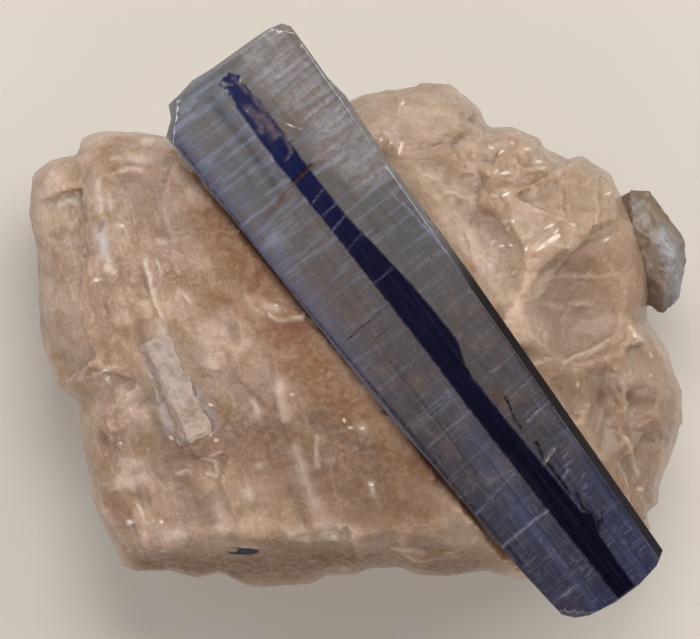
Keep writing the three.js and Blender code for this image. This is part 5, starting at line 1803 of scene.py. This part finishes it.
@dataclass
class Studio:
    """Pale floor, soft lights and the camera that looks straight down on the specimen.

    Attributes:
        distance_m: How far the camera hangs above the plane it is framed for.
        framed_height: Height of that plane.
        view_width: Width of the picture in that plane.
        view_middle: Plan point at the middle of the picture.
        floor_span_m: Side of the floor.
    """

    distance_m: float = 2.4
    framed_height: float = 22.0
    view_width: float = 87.5
    view_middle: Point = (-0.875, 0.125)
    floor_span_m: float = 12.0

    def softbox(self, name: str, place: Point3, size_m: float, power: float, tone: str,
                shadow: bool = True) -> None:
        """Hang one soft light that faces the specimen.

        Args:
            name: The light's name.
            place: Where it hangs, in metres.
            size_m: Its side.
            power: Its power in watts.
            tone: Its colour.
            shadow: Whether it casts shadows, or only fills them as a large white wall would.
        """
        lamp = bpy.data.lights.new(name, "AREA")
        lamp.shape = "SQUARE"
        lamp.size = size_m
        lamp.energy = power
        lamp.use_shadow = shadow
        lamp.color = linear(tone)[:3]
        holder = add_object(name, lamp)
        holder.location = place
        aim = Vector(SPECIMEN_MIDDLE_M) - Vector(place)
        holder.rotation_euler = aim.to_track_quat("-Z", "Y").to_euler()

    def air(self) -> bpy.types.World:
        """Make the room: pale at eye level and dim overhead, as under a dark ceiling."""
        world = bpy.data.worlds.new("studio air")
        world.use_nodes = True
        tree = world.node_tree
        way = add_node(tree, "ShaderNodeTexCoord").outputs["Generated"]
        height = add_node(tree, "ShaderNodeSeparateXYZ", {0: way}).outputs["Z"]
        power = spread(tree, height, 0.3, 0.95, 0.7, 0.03)
        back = tree.nodes["Background"]
        back.inputs["Color"].default_value = linear("#e8e8ea")
        tree.links.new(power, back.inputs["Strength"])
        return world

    def build(self) -> None:
        """Lay the floor, hang the lights and set the camera."""
        board = bmesh.new()
        bmesh.ops.create_grid(board, x_segments=1, y_segments=1, size=self.floor_span_m / 2)
        mesh = bpy.data.meshes.new("studio_floor")
        board.to_mesh(mesh)
        board.free()
        mesh.materials.append(StudioFloor().material())
        add_object("studio_floor", mesh)
        self.softbox("north key", KEY_LIGHT_M, 0.35, 4.4, "#fff8f0")
        self.softbox("east rim", (0.5, 0.35, 0.55), 0.4, 2.9, "#fffaf4")
        self.softbox("west fill", (-0.42, 0.12, 0.72), 0.4, 3.0, "#fffaf6", False)
        self.softbox("south fill", (0.0, -0.6, 0.5), 0.6, 1.3, "#fff0e2", False)
        bpy.context.scene.world = self.air()
        bpy.context.scene.view_settings.view_transform = "Standard"
        camera = bpy.data.cameras.new("overhead camera")
        camera.sensor_width = 36.0
        camera.lens = 36.0 * self.distance_m / (self.view_width * MM)
        camera.clip_end = 50.0
        holder = add_object("overhead camera", camera)
        holder.location = (*(c * MM for c in self.view_middle), self.framed_height * MM + self.distance_m)
        bpy.context.scene.camera = holder


def main() -> None:
    """Build every piece in order."""
    logging.basicConfig(level=logging.INFO, format="%(name)s: %(message)s")
    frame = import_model()
    noise.seed_set(BREAK_SEED)
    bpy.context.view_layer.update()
    lump = QuartzLump().build(frame)
    InnerVeils().build(lump)
    KyaniteBlade().build(frame)
    PaleGrain("pale_kyanite_stub", "pale_blade_end", "pale_kyanite", WeatheredKyanite(), relief=0.55,
              whitened=STUB_WHITE).build(frame, lump)
    warm = WeatheredKyanite("kyanite, weathered and warm", tan="#968478", pale="#989390", grey="#7b695a")
    PaleGrain("pale_kyanite_lath", "pale_lath", "pale_kyanite", warm, relief=0.3, swell=0.5,
              fibre_deg=-68.0, whitened=LATH_WHITE).build(frame, lump)
    PaleGrain("dark_kyanite_sliver", "dark_sliver", "kyanite", DarkKyanite(), relief=0.08,
              pinch=0.8, proud=0.25).build(frame, lump)
    Studio().build()


if __name__ == "__main__":
    main()
